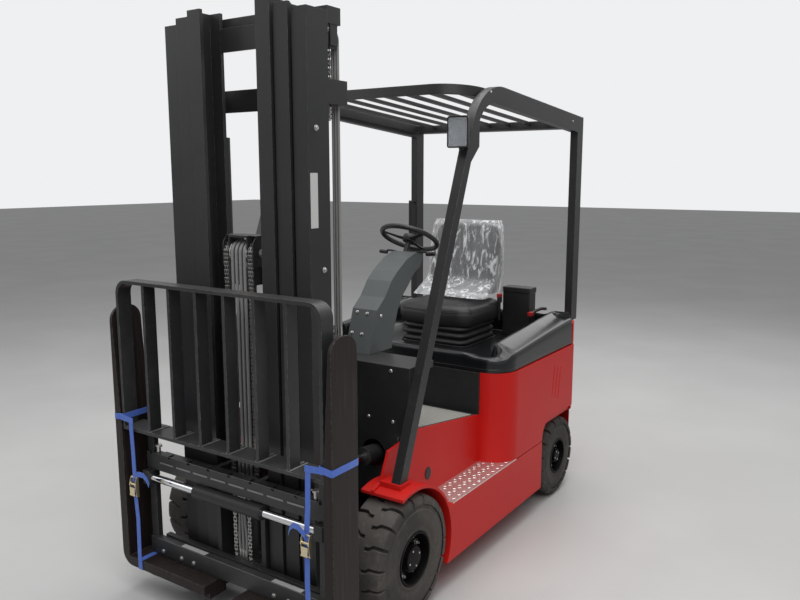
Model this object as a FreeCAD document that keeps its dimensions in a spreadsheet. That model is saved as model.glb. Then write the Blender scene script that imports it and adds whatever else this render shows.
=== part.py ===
"""Four-wheel counterbalance forklift with a three-stage mast, in millimetres.

The origin is on the floor under the middle of the machine. +X is the machine's left side, the forks
point to -Y and +Z is up. Every driving size is a cell of the sheet Sizes; places are worked out from
those cells, so a piece follows the size that it fits.
"""
import FreeCAD
import Part
import math
import os
import Sketcher
from FreeCAD import Placement, Rotation, Vector

# Columns: name of the size, millimetres (or degrees or a count where the name says so)
SIZES = [
    # running gear
    ("front_tyre_radius", 265),
    ("front_tyre_width", 200),
    ("front_rim_radius", 114),
    ("rear_tyre_radius", 229),
    ("rear_tyre_width", 165),
    ("rear_inset", 13.5),
    ("rear_rim_radius", 101),
    ("rim_wall", 8),
    ("rim_dish", 52),
    ("wheelbase", 1545),
    ("tyre_edge_round", 22),
    ("front_hub_radius", 62),
    ("rear_hub_radius", 46),
    ("spindle_radius", 24),
    ("brake_drum_radius", 88),
    ("running_clearance", 0.05),
    ("side_clearance", 0.3),
    ("moving_clearance", 8),
    ("axle_tube_radius", 58),
    ("axle_case_width", 400),
    ("axle_case_front", 95),
    ("axle_case_back", 250),
    ("kingpin_inset", 92),
    ("kingpin_radius", 16),
    ("steer_beam_depth", 76),
    ("steer_beam_height", 96),
    # body
    ("body_width", 1236),
    ("rear_overhang", 355),
    ("front_reach", 520),
    ("skirt_bottom", 130),
    ("frame_bottom", 190),
    ("step_height", 400),
    ("step_width", 146),
    ("step_rear", 953),
    ("step_plate", 5),
    ("arch_gap", 28),
    ("fender_plate", 12),
    ("fender_front", 95),
    ("floor_over_tilt", 45),
    ("floor_rise", 82),
    ("floor_toe", 253),
    ("floor_plate", 6),
    ("riser_plate", 12),
    ("frame_plate", 14),
    ("beam_offset", 386),
    ("beam_top", 545),
    ("tub_width", 872),
    ("seat_front", 815),
    ("body_corner", 146),
    ("cover_plate", 12),
    ("cover_height", 862),
    ("cover_gap", 10),
    ("cover_rear", 1700),
    ("arch_front", 1278),
    ("arch_height", 470),
    ("bulkhead_plate", 50),
    ("battery_length", 385),
    ("battery_width", 860),
    ("battery_gap", 27),
    ("battery_floor", 205),
    ("counterweight_top", 985),
    ("counterweight_bottom", 150),
    ("counterweight_corner", 235),
    ("counterweight_inset", 6),
    ("tongue_height", 842),
    ("tow_recess_width", 110),
    ("tow_recess_depth", 95),
    ("tow_recess_height", 80),
    ("tow_recess_bottom", 400),
    ("tow_pin_radius", 14),
    ("hood_inset", 10),
    ("hood_top", 940),
    ("hood_plate", 34),
    ("hood_arm_top", 1061),
    ("hood_arm_width", 150),
    ("hood_gap", 6),
    ("hinge_pin_radius", 8),
    ("hinge_eye_radius", 12),
    ("hinge_height", 15),
    ("hinge_offset", 220),
    ("hinge_width", 36),
    # front plate, dash and steering
    ("front_plate_y", 96),
    ("front_plate_thickness", 12),
    ("front_plate_bottom", 440),
    ("front_plate_waist", 800),
    ("dash_height", 1040),
    ("dash_depth", 190),
    ("dash_thickness", 30),
    ("cowl_width", 136),
    ("cowl_shift", 18),
    ("cowl_offset", 150),
    ("cowl_front", 205),
    ("steering_wheel_radius", 152),
    ("steering_wheel_y", 665),
    ("steering_wheel_height", 1530),
    ("steering_wheel_tilt", 28),
    ("steering_wheel_rim", 13),
    ("column_radius", 14),
    ("lever_radius", 6),
    ("lever_knob", 15),
    ("lever_pitch", 45),
    ("lever_length", 170),
    ("pedal_width", 76),
    ("pedal_height", 112),
    # overhead guard
    ("guard_inset", 53),
    ("guard_post_width", 44),
    ("guard_post_depth", 52),
    ("guard_front_foot", -38),
    ("guard_foot_height", 588),
    ("guard_front_head", 612),
    ("guard_front_top", 2254),
    ("guard_rear_y", 1822),
    ("guard_rear_depth", 80),
    ("guard_rear_top", 2161),
    ("guard_rail_height", 85),
    ("guard_shoulder", 300),
    ("guard_gusset_low", 1890),
    ("guard_gusset_high", 2120),
    ("guard_gusset_depth", 100),
    ("guard_roof_y", 540),
    ("guard_roof_height", 2240),
    ("guard_band_height", 46),
    ("guard_band_plate", 10),
    ("guard_band_corner", 190),
    ("guard_header_depth", 60),
    ("guard_bar_count", 7),
    ("guard_bar_width", 28),
    ("guard_bar_height", 14),
    ("lamp_width", 104),
    ("lamp_height", 138),
    ("lamp_depth", 58),
    ("lamp_bottom", 1949),
    ("handle_radius", 11),
    ("handle_bottom", 1330),
    ("handle_length", 330),
    # seat
    ("seat_y", 1090),
    ("seat_width", 480),
    ("seat_depth", 450),
    ("seat_base_top", 1050),
    ("cushion_height", 92),
    ("seat_back_height", 430),
    ("seat_back_depth", 110),
    ("tool_box_width", 180),
    ("tool_box_depth", 96),
    ("tool_box_height", 290),
    # mast
    ("rail_depth", 120),
    ("rail_flange", 70),
    ("rail_flange_plate", 15),
    ("rail_web", 14),
    ("rail_gap", 8),
    ("mast_width", 744),
    ("mast_front", 345),
    ("stage_offset", 10),
    ("mast_bottom", 130),
    ("outer_top", 2425),
    ("middle_top", 2446),
    ("inner_top", 2466),
    ("tie_height", 90),
    ("tie_plate", 13),
    ("tie_setback", 100),
    ("tie_gusset", 12),
    ("stage_clearance", 5),
    ("head_height", 62),
    ("trunnion_radius", 92),
    ("trunnion_width", 62),
    ("lift_barrel_radius", 38),
    ("lift_rod_radius", 24),
    ("lift_barrel_top", 1990),
    ("lift_setback", 52),
    ("free_barrel_radius", 42),
    ("free_rod_radius", 30),
    ("free_barrel_top", 1330),
    ("free_setback", 15),
    ("head_low", 1400),
    ("head_width", 104),
    ("head_cheek", 6),
    ("head_rise", 200),
    ("free_pulley_height", 130),
    ("free_run_radius", 44),
    ("free_chain_offset", 66),
    ("free_hose_radius", 7),
    ("free_hose_pitch", 22),
    ("chain_width", 24),
    ("lift_foot", 120),
    ("middle_tie_low", 40),
    ("middle_tie_mid", 970),
    ("chain_thickness", 10),
    ("pulley_pin_radius", 10),
    ("stage_pulley_setback", 49),
    ("stage_pulley_drop", 54),
    ("stage_run_radius", 38),
    ("stage_chain_offset", 303),
    ("stage_chain_width", 20),
    ("stage_hose_offset", 335),
    ("stage_hose_radius", 6),
    ("stage_hose_pitch", 13),
    # tilt cylinders
    ("tilt_offset", 336),
    ("tilt_rod_height", 665),
    ("tilt_base_height", 600),
    ("tilt_base_y", 450),
    ("tilt_eye_y", -182),
    ("tilt_barrel_radius", 40),
    ("tilt_rod_radius", 20),
    ("tilt_hole_radius", 62),
    ("tilt_pin_radius", 15),
    ("tilt_eye_radius", 30),
    ("tilt_eye_width", 26),
    ("tilt_eye_play", 3),
    ("tilt_barrel_end", 200),
    # carriage, load guard and forks
    ("bar_inset", 96.5),
    ("bar_height", 76),
    ("bar_depth", 32),
    ("lower_bar_bottom", 168),
    ("upper_bar_top", 640),
    ("bar_notch", 16),
    ("bar_notch_pitch", 120),
    ("carriage_plate", 22),
    ("carriage_bar_depth", 24),
    ("carriage_setback", 18),
    ("frame_end_plate", 40),
    ("blade_gap", 0.5),
    ("backrest_bottom", 752),
    ("backrest_top", 1402),
    ("backrest_depth", 66),
    ("backrest_corner", 62),
    ("backrest_bar", 14),
    ("backrest_bar_count", 6),
    ("shift_barrel_radius", 30),
    ("shift_rod_radius", 17),
    ("shift_barrel_length", 380),
    ("shift_height", 528),
    ("fork_length", 1160),
    ("fork_width", 150),
    ("fork_thickness", 42),
    ("fork_tip_thickness", 10),
    ("fork_taper", 560),
    ("fork_shank", 520),
    ("fork_heel", 60),
    ("fork_tip_round", 62),
    ("fork_outer", 601.5),
    ("fork_hook_depth", 26),
    ("fork_hook_width", 46),
    ("strap_width", 27),
    ("strap_thickness", 2.5),
    ("strap_height", 790),
    ("ratchet_height", 96),
    ("ratchet_depth", 23.7),
]

doc = FreeCAD.newDocument("Forklift")


class Dim:
    """A length that knows both its formula over the sheet and its present value."""

    def __init__(self, text, value):
        self.text = text
        self.value = float(value)

    @staticmethod
    def of(other):
        return other if isinstance(other, Dim) else Dim(repr(float(other)), other)

    def __add__(self, other):
        other = Dim.of(other)
        return Dim(f"({self.text} + {other.text})", self.value + other.value)

    def __sub__(self, other):
        other = Dim.of(other)
        return Dim(f"({self.text} - {other.text})", self.value - other.value)

    def __mul__(self, other):
        other = Dim.of(other)
        return Dim(f"({self.text} * {other.text})", self.value * other.value)

    def __truediv__(self, other):
        other = Dim.of(other)
        return Dim(f"({self.text} / {other.text})", self.value / other.value)

    def __radd__(self, other):
        return Dim.of(other) + self

    def __rsub__(self, other):
        return Dim.of(other) - self

    def __rmul__(self, other):
        return Dim.of(other) * self

    def __neg__(self):
        return Dim(f"(-{self.text})", -self.value)

    def __float__(self):
        return self.value


class Sizes:
    """The driving sizes, one attribute for each cell of the sheet."""

    def __init__(self, rows):
        sheet = doc.addObject("Spreadsheet::Sheet", "Sizes")
        for line, (name, value) in enumerate(rows, start=1):
            sheet.set(f"A{line}", name)
            sheet.set(f"B{line}", str(value))
            sheet.setAlias(f"B{line}", name)
            setattr(self, name, Dim(f"Sizes.{name}", value))


S = Sizes(SIZES)
doc.recompute()

NODES = []


def bind(obj, prop, size):
    """Ties one property of an object to a size."""
    obj.setExpression(prop, Dim.of(size).text)


def node(label, obj):
    """Registers a finished sub-part under the name of its file."""
    obj.Label = label
    NODES.append(obj)
    return obj


def place(obj, x, y, z):
    for axis, size in zip("xyz", (x, y, z)):
        bind(obj, f"Placement.Base.{axis}", size)
    return obj


def box(name, x, y, z):
    """Block between two places along each axis."""
    obj = doc.addObject("Part::Box", name)
    for prop, (low, high) in (("Length", x), ("Width", y), ("Height", z)):
        bind(obj, prop, Dim.of(high) - low)
    return place(obj, x[0], y[0], z[0])


def rod(name, axis, radius, start, end, x=0, y=0, z=0):
    """Round bar along an axis from start to end; the other two places are its centre line."""
    turn = {
        "x": Rotation(Vector(0, 1, 0), 90),
        "y": Rotation(Vector(1, 0, 0), -90),
        "z": Rotation(),
    }[axis]
    obj = doc.addObject("Part::Cylinder", name)
    obj.Placement = Placement(Vector(), turn)
    bind(obj, "Radius", radius)
    bind(obj, "Height", Dim.of(end) - start)
    spot = {"x": x, "y": y, "z": z}
    spot[axis] = start
    return place(obj, spot["x"], spot["y"], spot["z"])


def fuse(name, parts):
    obj = doc.addObject("Part::MultiFuse", name)
    obj.Shapes = parts
    obj.Refine = True
    return obj


def group(name, parts):
    """Solids of one body that don't touch, kept as one sub-part."""
    obj = doc.addObject("Part::Compound", name)
    obj.Links = parts
    return obj


def cut(name, base, tools):
    obj = doc.addObject("Part::Cut", name)
    obj.Base = base
    obj.Tool = tools[0] if len(tools) == 1 else fuse(name + "Tools", tools)
    obj.Refine = True
    return obj


def mirrored(name, source):
    """The same piece on the machine's right side."""
    obj = doc.addObject("Part::Mirroring", name)
    obj.Source = source
    obj.Normal = (1, 0, 0)
    return obj


PLANES = {"side": "YZ_Plane", "front": "XZ_Plane", "top": "XY_Plane"}


def outline(body, name, plane, offset, points):
    """Closed outline of straight runs whose corners are all tied to the sheet."""
    sketch = body.newObject("Sketcher::SketchObject", name)
    origin = [f for f in body.Origin.OriginFeatures if f.Role == PLANES[plane]][0]
    sketch.AttachmentSupport = [(origin, "")]
    sketch.MapMode = "FlatFace"
    bind(sketch, "AttachmentOffset.Base.z", offset)
    corners = [(Dim.of(a), Dim.of(b)) for a, b in points]
    count = len(corners)
    for i in range(count):
        start, end = corners[i], corners[(i + 1) % count]
        sketch.addGeometry(
            Part.LineSegment(Vector(start[0].value, start[1].value, 0),
                             Vector(end[0].value, end[1].value, 0)),
            False,
        )
    for i in range(count):
        sketch.addConstraint(Sketcher.Constraint("Coincident", i, 2, (i + 1) % count, 1))
    for i, corner in enumerate(corners):
        for kind, size in zip(("DistanceX", "DistanceY"), corner):
            index = sketch.addConstraint(Sketcher.Constraint(kind, -1, 1, i, 1, size.value))
            sketch.setExpression(f"Constraints[{index}]", size.text)
    return sketch


def prism(name, plane, points, start, end):
    """Body padded from an outline, between two places along the plane's normal."""
    body = doc.addObject("PartDesign::Body", name)
    offset = -Dim.of(end) if plane == "front" else Dim.of(start)
    sketch = outline(body, name + "Outline", plane, offset, points)
    pad = body.newObject("PartDesign::Pad", name + "Pad")
    pad.Profile = sketch
    bind(pad, "Length", Dim.of(end) - start)
    sketch.Visibility = False
    doc.recompute([pad])
    return body


def turned(name, points, axis_y, axis_z, side=1):
    """Body turned about a line along X from a section of (x, radius) points."""
    body = doc.addObject("PartDesign::Body", name)
    flat = [(Dim.of(x) * side, Dim.of(r)) for x, r in points]
    sketch = outline(body, name + "Section", "top", 0, flat)
    turn = body.newObject("PartDesign::Revolution", name + "Turn")
    turn.Profile = sketch
    turn.ReferenceAxis = (sketch, ["H_Axis"])
    turn.Angle = 360
    sketch.Visibility = False
    place(body, 0, axis_y, axis_z)
    return body


def spun(name, points):
    """Body turned about the Z axis from a section of (radius, z) points."""
    body = doc.addObject("PartDesign::Body", name)
    sketch = outline(body, name + "Section", "front", 0, [(Dim.of(r), Dim.of(z)) for r, z in points])
    turn = body.newObject("PartDesign::Revolution", name + "Turn")
    turn.Profile = sketch
    turn.ReferenceAxis = (sketch, ["V_Axis"])
    turn.Angle = 360
    sketch.Visibility = False
    return body


def edges_at(shape, along, spots):
    """Numbers of the straight edges that run along an axis through given places."""
    found = []
    index = "xyz".index(along)
    for number, edge in enumerate(shape.Edges, start=1):
        if len(edge.Vertexes) != 2:
            continue
        a, b = (v.Point for v in edge.Vertexes)
        run = b - a
        if abs(run[index]) < run.Length - 1e-6:
            continue
        for spot in spots:
            if all(abs(a[i] - float(s)) < 0.01 for i, s in spot.items()):
                found.append(number)
    return found


def rounded(name, base, along, spots, radius):
    """Fillet of the edges that run along an axis through the given places."""
    doc.recompute([base])
    numbers = edges_at(base.Shape, along, spots)
    obj = doc.addObject("Part::Fillet", name)
    obj.Base = base
    obj.Edges = [(n, float(radius), float(radius)) for n in numbers]
    base.Visibility = False
    return obj


def pair(name, piece):
    """A piece and its mirror image as one sub-part."""
    return group(name, [piece, mirrored(name + "Right", piece)])


def root(size):
    """Square root that stays tied to the sheet."""
    return Dim(f"sqrt({size.text})", math.sqrt(size.value))


def common(name, parts):
    obj = doc.addObject("Part::MultiCommon", name)
    obj.Shapes = parts
    return obj


def span(start, end, side):
    """The two places along X in rising order, on the side given by +1 (left) or -1 (right)."""
    return (start, end) if side > 0 else (-Dim.of(end), -Dim.of(start))


def leaned(name, obj, axis, angle, x, y, z):
    """Holds a piece built about its own origin, turned about X, Y or Z and carried to its place."""
    holder = group(name, [obj])
    holder.Placement = Placement(Vector(), Rotation(axis, Dim.of(angle).value))
    bind(holder, "Placement.Rotation.Angle", angle)
    return place(holder, x, y, z)


# Places that more than one piece uses
front_axle_y = (S.front_reach + S.side_clearance + S.ratchet_depth - S.wheelbase - S.rear_overhang) / 2


def at(size):
    """Place along Y, measured back from the front axle."""
    return front_axle_y + size


rear_axle_y = at(S.wheelbase)
front_axle_z = S.front_tyre_radius
rear_axle_z = S.rear_tyre_radius
body_side = S.body_width / 2
riser_x = body_side - S.step_width
front_wheel_out = body_side
front_wheel_in = front_wheel_out - S.front_tyre_width
rear_wheel_out = body_side - S.rear_inset
rear_wheel_in = rear_wheel_out - S.rear_tyre_width
kingpin_x = (rear_wheel_in + rear_wheel_out) / 2 - S.kingpin_inset
guard_half = body_side - S.guard_inset
bar_half = S.fork_outer - S.bar_inset
backrest_half = S.fork_outer - S.fork_thickness - S.blade_gap
floor_height = S.tilt_base_height + S.floor_over_tilt
swing_room = root((rear_wheel_out - kingpin_x) * (rear_wheel_out - kingpin_x)
                  + S.rear_tyre_radius * S.rear_tyre_radius) + S.moving_clearance
rear_y = rear_axle_y + S.rear_overhang
arch_radius = S.front_tyre_radius + S.arch_gap
fender_radius = arch_radius + S.fender_plate
riser_inner = riser_x - S.riser_plate
toe_height = floor_height + S.floor_rise
plate_back = at(S.front_plate_y) + S.front_plate_thickness
rear_wall_y = at(S.arch_front) - 32
hood_low = S.cover_height + S.side_clearance
hood_floor = hood_low + S.hood_plate
hinge_y = at(S.cover_rear) - S.hood_gap / 2
hinge_z = S.counterweight_top + S.hinge_height
blade_y = at(-S.front_reach)


def floor_at(y):
    """Height of the floor's top surface, on its slope, at a distance behind the front axle."""
    return toe_height - (Dim.of(y) - S.floor_toe) * S.floor_rise / (S.seat_front - S.floor_toe)


def wheel(name, inner, outer, radius, rim, hub, axle_y, axle_z, side):
    """Solid tyre and its rim, turned about the axle."""
    edge = S.tyre_edge_round
    tyre = turned(
        name + "Tyre",
        [
            (inner, rim),
            (inner, radius - edge),
            (inner + edge * 0.5, radius - edge * 0.25),
            (inner + edge * 1.4, radius),
            (outer - edge * 1.4, radius),
            (outer - edge * 0.5, radius - edge * 0.25),
            (outer, radius - edge),
            (outer, rim),
        ],
        axle_y,
        axle_z,
        side,
    )
    wall = S.rim_wall
    disc = outer - S.rim_dish
    bore = S.spindle_radius + S.running_clearance
    rim_in = rim - S.side_clearance
    wheel_rim = turned(
        name + "Rim",
        [
            (inner + 4, rim_in - wall),
            (inner + 4, rim_in),
            (outer - 4, rim_in),
            (outer - 4, rim_in - wall),
            (disc, rim_in - wall * 1.5),
            (disc, hub),
            (outer - 20, hub - 6),
            (outer - 20, bore),
            (disc - 34, bore),
            (disc - 34, hub),
            (disc - wall, hub),
            (disc - wall, rim_in - wall),
        ],
        axle_y,
        axle_z,
        side,
    )
    return tyre, wheel_rim


SIDES = (("left", 1), ("right", -1))


def wheels():
    for side_name, side in SIDES:
        tyre, rim = wheel(
            "Front" + side_name, front_wheel_in, front_wheel_out, S.front_tyre_radius,
            S.front_rim_radius, S.front_hub_radius, front_axle_y, front_axle_z, side,
        )
        node(f"front_tyre_{side_name}", tyre)
        node(f"front_rim_{side_name}", rim)
        tyre, rim = wheel(
            "Rear" + side_name, rear_wheel_in, rear_wheel_out, S.rear_tyre_radius,
            S.rear_rim_radius, S.rear_hub_radius, rear_axle_y, rear_axle_z, side,
        )
        node(f"rear_tyre_{side_name}", tyre)
        node(f"rear_rim_{side_name}", rim)


def drive_axle():
    """Transaxle case with its tube, brake drums and wheel spindles."""
    half = S.axle_case_width / 2
    case = box("AxleCase", (-half, half), (at(-S.axle_case_front), at(S.axle_case_back)),
               (front_axle_z - 95, front_axle_z + 155))
    drum_in = front_wheel_in - 28
    tube = rod("AxleTube", "x", S.axle_tube_radius, -drum_in - 6, drum_in + 6, y=front_axle_y,
               z=front_axle_z)
    parts = [case, tube]
    for name, side in SIDES:
        low, high = span(drum_in, front_wheel_in - 6, side)
        parts.append(rod("Drum" + name, "x", S.brake_drum_radius, low, high, y=front_axle_y,
                         z=front_axle_z))
        low, high = span(drum_in, front_wheel_out - 24, side)
        parts.append(rod("Spindle" + name, "x", S.spindle_radius, low, high, y=front_axle_y,
                         z=front_axle_z))
    node("drive_axle", fuse("DriveAxle", parts))


steer_low = rear_axle_z - S.steer_beam_height / 2
steer_high = rear_axle_z + S.steer_beam_height / 2
yoke_plate = 20


def swing_cutters(owner):
    """Room that each steered wheel sweeps about its kingpin."""
    return [
        rod(f"{owner}Swing{name}", "z", swing_room, 0, S.arch_height, x=kingpin_x * side, y=rear_axle_y)
        for name, side in SIDES
    ]


def steer_axle():
    """Rear beam on its centre pivot block, with a yoke at each end."""
    half = S.steer_beam_depth / 2
    beam_end = kingpin_x - 44
    beam = box("SteerBeam", (-beam_end, beam_end), (rear_axle_y - half, rear_axle_y + half),
               (steer_low, steer_high))
    block = box("SteerPivot", (-70, 70), (rear_axle_y - half - 16, rear_axle_y + half + 16),
                (steer_low + 4, S.arch_height - 60))
    parts = [beam, block]
    for name, side in SIDES:
        for ear, bottom in (("Upper", steer_high - yoke_plate), ("Lower", steer_low)):
            low, high = span(beam_end - yoke_plate, kingpin_x, side)
            parts.append(box(f"Yoke{ear}{name}", (low, high),
                             (rear_axle_y - half + 6, rear_axle_y + half - 6),
                             (bottom, bottom + yoke_plate)))
            parts.append(rod(f"YokeEye{ear}{name}", "z", half - 6, bottom, bottom + yoke_plate,
                             x=kingpin_x * side, y=rear_axle_y))
    bores = [
        rod("KingpinBore" + name, "z", S.kingpin_radius + S.running_clearance, steer_low - 5,
            steer_high + 5,
            x=kingpin_x * side, y=rear_axle_y)
        for name, side in SIDES
    ]
    node("steer_axle", cut("SteerAxle", fuse("SteerBeamRough", parts), bores))


def knuckle(side_name, side):
    """Block on the kingpin that carries the rear wheel's spindle."""
    gap = S.side_clearance
    pin = rod("Kingpin" + side_name, "z", S.kingpin_radius, steer_low - 3, steer_high + 3,
              x=kingpin_x * side, y=rear_axle_y)
    hub = rod("KnuckleHub" + side_name, "z", 30, steer_low + yoke_plate + gap,
              steer_high - yoke_plate - gap,
              x=kingpin_x * side, y=rear_axle_y)
    low, high = span(kingpin_x, rear_wheel_out - 24, side)
    spindle = rod("KnuckleSpindle" + side_name, "x", S.spindle_radius, low, high, y=rear_axle_y,
                  z=rear_axle_z)
    node(f"knuckle_{side_name}", fuse("Knuckle" + side_name, [pin, hub, spindle]))


def frame_side():
    """Left sill with the step, the riser wall, the mudguard and the seat of the guard's pillar."""
    sill = box("Sill", (riser_x, body_side), (at(60), at(S.arch_front)),
               (S.skirt_bottom, S.step_height - S.step_plate))
    riser = prism(
        "Riser", "side",
        [
            (at(-S.fender_front), front_axle_z + 180),
            (at(-S.fender_front), front_axle_z + arch_radius + 5),
            (at(S.guard_front_foot), S.guard_foot_height - 5),
            (pillar_front(toe_height - 30) + 10, toe_height - 30),
            (at(S.floor_toe), toe_height),
            (at(S.seat_front), floor_height),
            (at(S.seat_front), S.frame_bottom),
            (at(60), S.frame_bottom),
        ],
        riser_inner, riser_x,
    )
    crown = rod("FenderCrown", "x", fender_radius, front_wheel_in - 10, body_side, y=front_axle_y,
                z=front_axle_z)
    keep = box("FenderKeep", (0, body_side), (at(-S.fender_front), at(fender_radius + 50)),
               (S.skirt_bottom, front_axle_z + fender_radius + 50))
    pillar_x = guard_half
    seat_block = box("PillarSeat", (riser_x - 5, pillar_x + 8),
                     (at(S.guard_front_foot) - 10, at(S.guard_front_foot) + S.guard_post_depth + 10),
                     (front_axle_z + arch_radius - 30, S.guard_foot_height))
    arch_hole = rod("ArchHole", "x", arch_radius, front_wheel_in - 14, body_side + 10, y=front_axle_y,
                    z=front_axle_z)
    whole = fuse("SideRough", [sill, riser, common("FenderRound", [crown, keep]), seat_block])
    return cut("FrameSide", whole, [arch_hole])


def tilt_bracket(name, side):
    """Two cheeks with the pin that holds one tilt cylinder's barrel."""
    near = S.tilt_eye_width / 2 + 2 + S.side_clearance
    parts = []
    for part, low_x, high_x in (("In", -near - 12, -near), ("Out", near, near + 12)):
        parts.append(box(f"TiltCheek{part}{name}",
                         (S.tilt_offset * side + low_x, S.tilt_offset * side + high_x),
                         (at(S.tilt_base_y) - 24, at(S.tilt_base_y) + 40),
                         (S.tilt_base_height - 34, S.tilt_base_height + 34)))
    parts.append(rod("TiltBasePin" + name, "x", S.tilt_pin_radius, S.tilt_offset * side - near - 12,
                     S.tilt_offset * side + near + 12, y=at(S.tilt_base_y), z=S.tilt_base_height))
    return parts


def frame():
    """Welded frame: two sides, long beams, bulkheads, tilt cylinder brackets and battery floor."""
    beam_out = S.beam_offset + S.frame_plate
    tub_in = S.tub_width / 2
    tub_out = tub_in + S.frame_plate
    bulkhead_back = at(S.axle_case_back) + S.bulkhead_plate
    left = [
        frame_side(),
        box("Beam", (S.beam_offset, beam_out), (plate_back, at(S.seat_front)),
            (S.frame_bottom + 95, S.beam_top)),
        box("BeamLink", (S.beam_offset, riser_inner), (bulkhead_back, at(S.seat_front)),
            (S.frame_bottom, S.step_height)),
        box("TubSide", (tub_in, tub_out), (at(S.seat_front), rear_wall_y),
            (S.frame_bottom, S.tongue_height)),
        box("SillLink", (tub_in, riser_x + 5), (at(S.seat_front) - 5, rear_wall_y),
            (S.frame_bottom, S.step_height - S.step_plate)),
    ]
    half = fuse("FrameLeft", left)
    across = [
        # Columns: name, half width, front, back, low, high
        ("Bulkhead", beam_out, at(S.axle_case_back), bulkhead_back, S.frame_bottom,
         S.tilt_base_height - 70),
        ("TiltBeam", S.beam_offset + 5, at(S.tilt_base_y) + 36, at(S.tilt_base_y) + 56, S.beam_top - 65,
         S.tilt_base_height + 40),
        ("BatteryWall", tub_out, at(S.seat_front), at(S.seat_front) + S.frame_plate, S.frame_bottom,
         S.tongue_height),
        ("RearWall", tub_out, rear_wall_y - S.frame_plate, rear_wall_y, S.frame_bottom, S.tongue_height),
        ("BatteryFloor", tub_out, bulkhead_back - 5, rear_wall_y, S.frame_bottom, S.battery_floor),
    ]
    parts = [half, mirrored("FrameRight", half)]
    for name, wide, start, end, low, high in across:
        parts.append(box(name, (-wide, wide), (start, end), (low, high)))
    for name, side in SIDES:
        parts += tilt_bracket(name, side)
    node("frame", cut("Frame", fuse("FrameRough", parts), swing_cutters("Frame")))


def battery():
    half = S.battery_width / 2
    start = at(S.seat_front) + S.frame_plate + 4
    node("battery", box("Battery", (-half, half), (start, start + S.battery_length),
                        (S.battery_floor, hood_low - S.battery_gap)))


def floor():
    """Floor plate that rises towards the pedals, and the two step plates."""
    plate = prism(
        "FloorPlate", "side",
        [
            (plate_back, toe_height - S.floor_plate),
            (plate_back, toe_height),
            (at(S.floor_toe), toe_height),
            (at(S.seat_front), floor_height),
            (at(S.seat_front), floor_height - S.floor_plate),
            (at(S.floor_toe), toe_height - S.floor_plate),
        ],
        -riser_inner, riser_inner,
    )
    node("floor_plate", plate)
    step = box("StepPlate", (riser_x, body_side), (at(fender_radius), at(S.step_rear)),
               (S.step_height - S.step_plate, S.step_height))
    node("step_plates", pair("StepPlates", step))


def side_cover(side_name, side):
    """Curved red cover beside the battery, with the wheel arch cut out of it."""
    front, back = at(S.seat_front), at(S.cover_rear)
    low = S.step_height
    wall = S.cover_plate
    shell = box("CoverBlock" + side_name, (riser_inner + S.cover_gap, body_side), (front, back),
                (low, S.cover_height))
    shell = rounded("CoverRound" + side_name, shell, "z", [{0: body_side, 1: front}], S.body_corner)
    hollow = box("CoverHollow" + side_name, (riser_inner - 5, body_side - wall), (front + wall, back + 5),
                 (low - 5, S.cover_height + 5))
    hollow = rounded("CoverHollowRound" + side_name, hollow, "z",
                     [{0: body_side - wall, 1: front + wall}], S.body_corner - wall)
    crest = S.arch_height + 30
    arch = box("CoverArch" + side_name, (riser_inner - 5, body_side + 5), (at(S.arch_front), back + 5),
               (low - 5, crest))
    arch = rounded("CoverArchRound" + side_name, arch, "x", [{1: at(S.arch_front), 2: crest}], 95)
    cover = cut("Cover" + side_name, shell, [hollow, arch])
    if side < 0:
        cover = mirrored("CoverMirror" + side_name, cover)
    node(f"side_cover_{side_name}", cover)


def front_cover():
    """Black panel in front of the battery, under the hood's edge."""
    width = riser_x
    node("front_cover", box("FrontCover", (-width, width), (at(S.seat_front) - 10, at(S.seat_front)),
                            (floor_height + 2, S.cover_height)))


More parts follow.
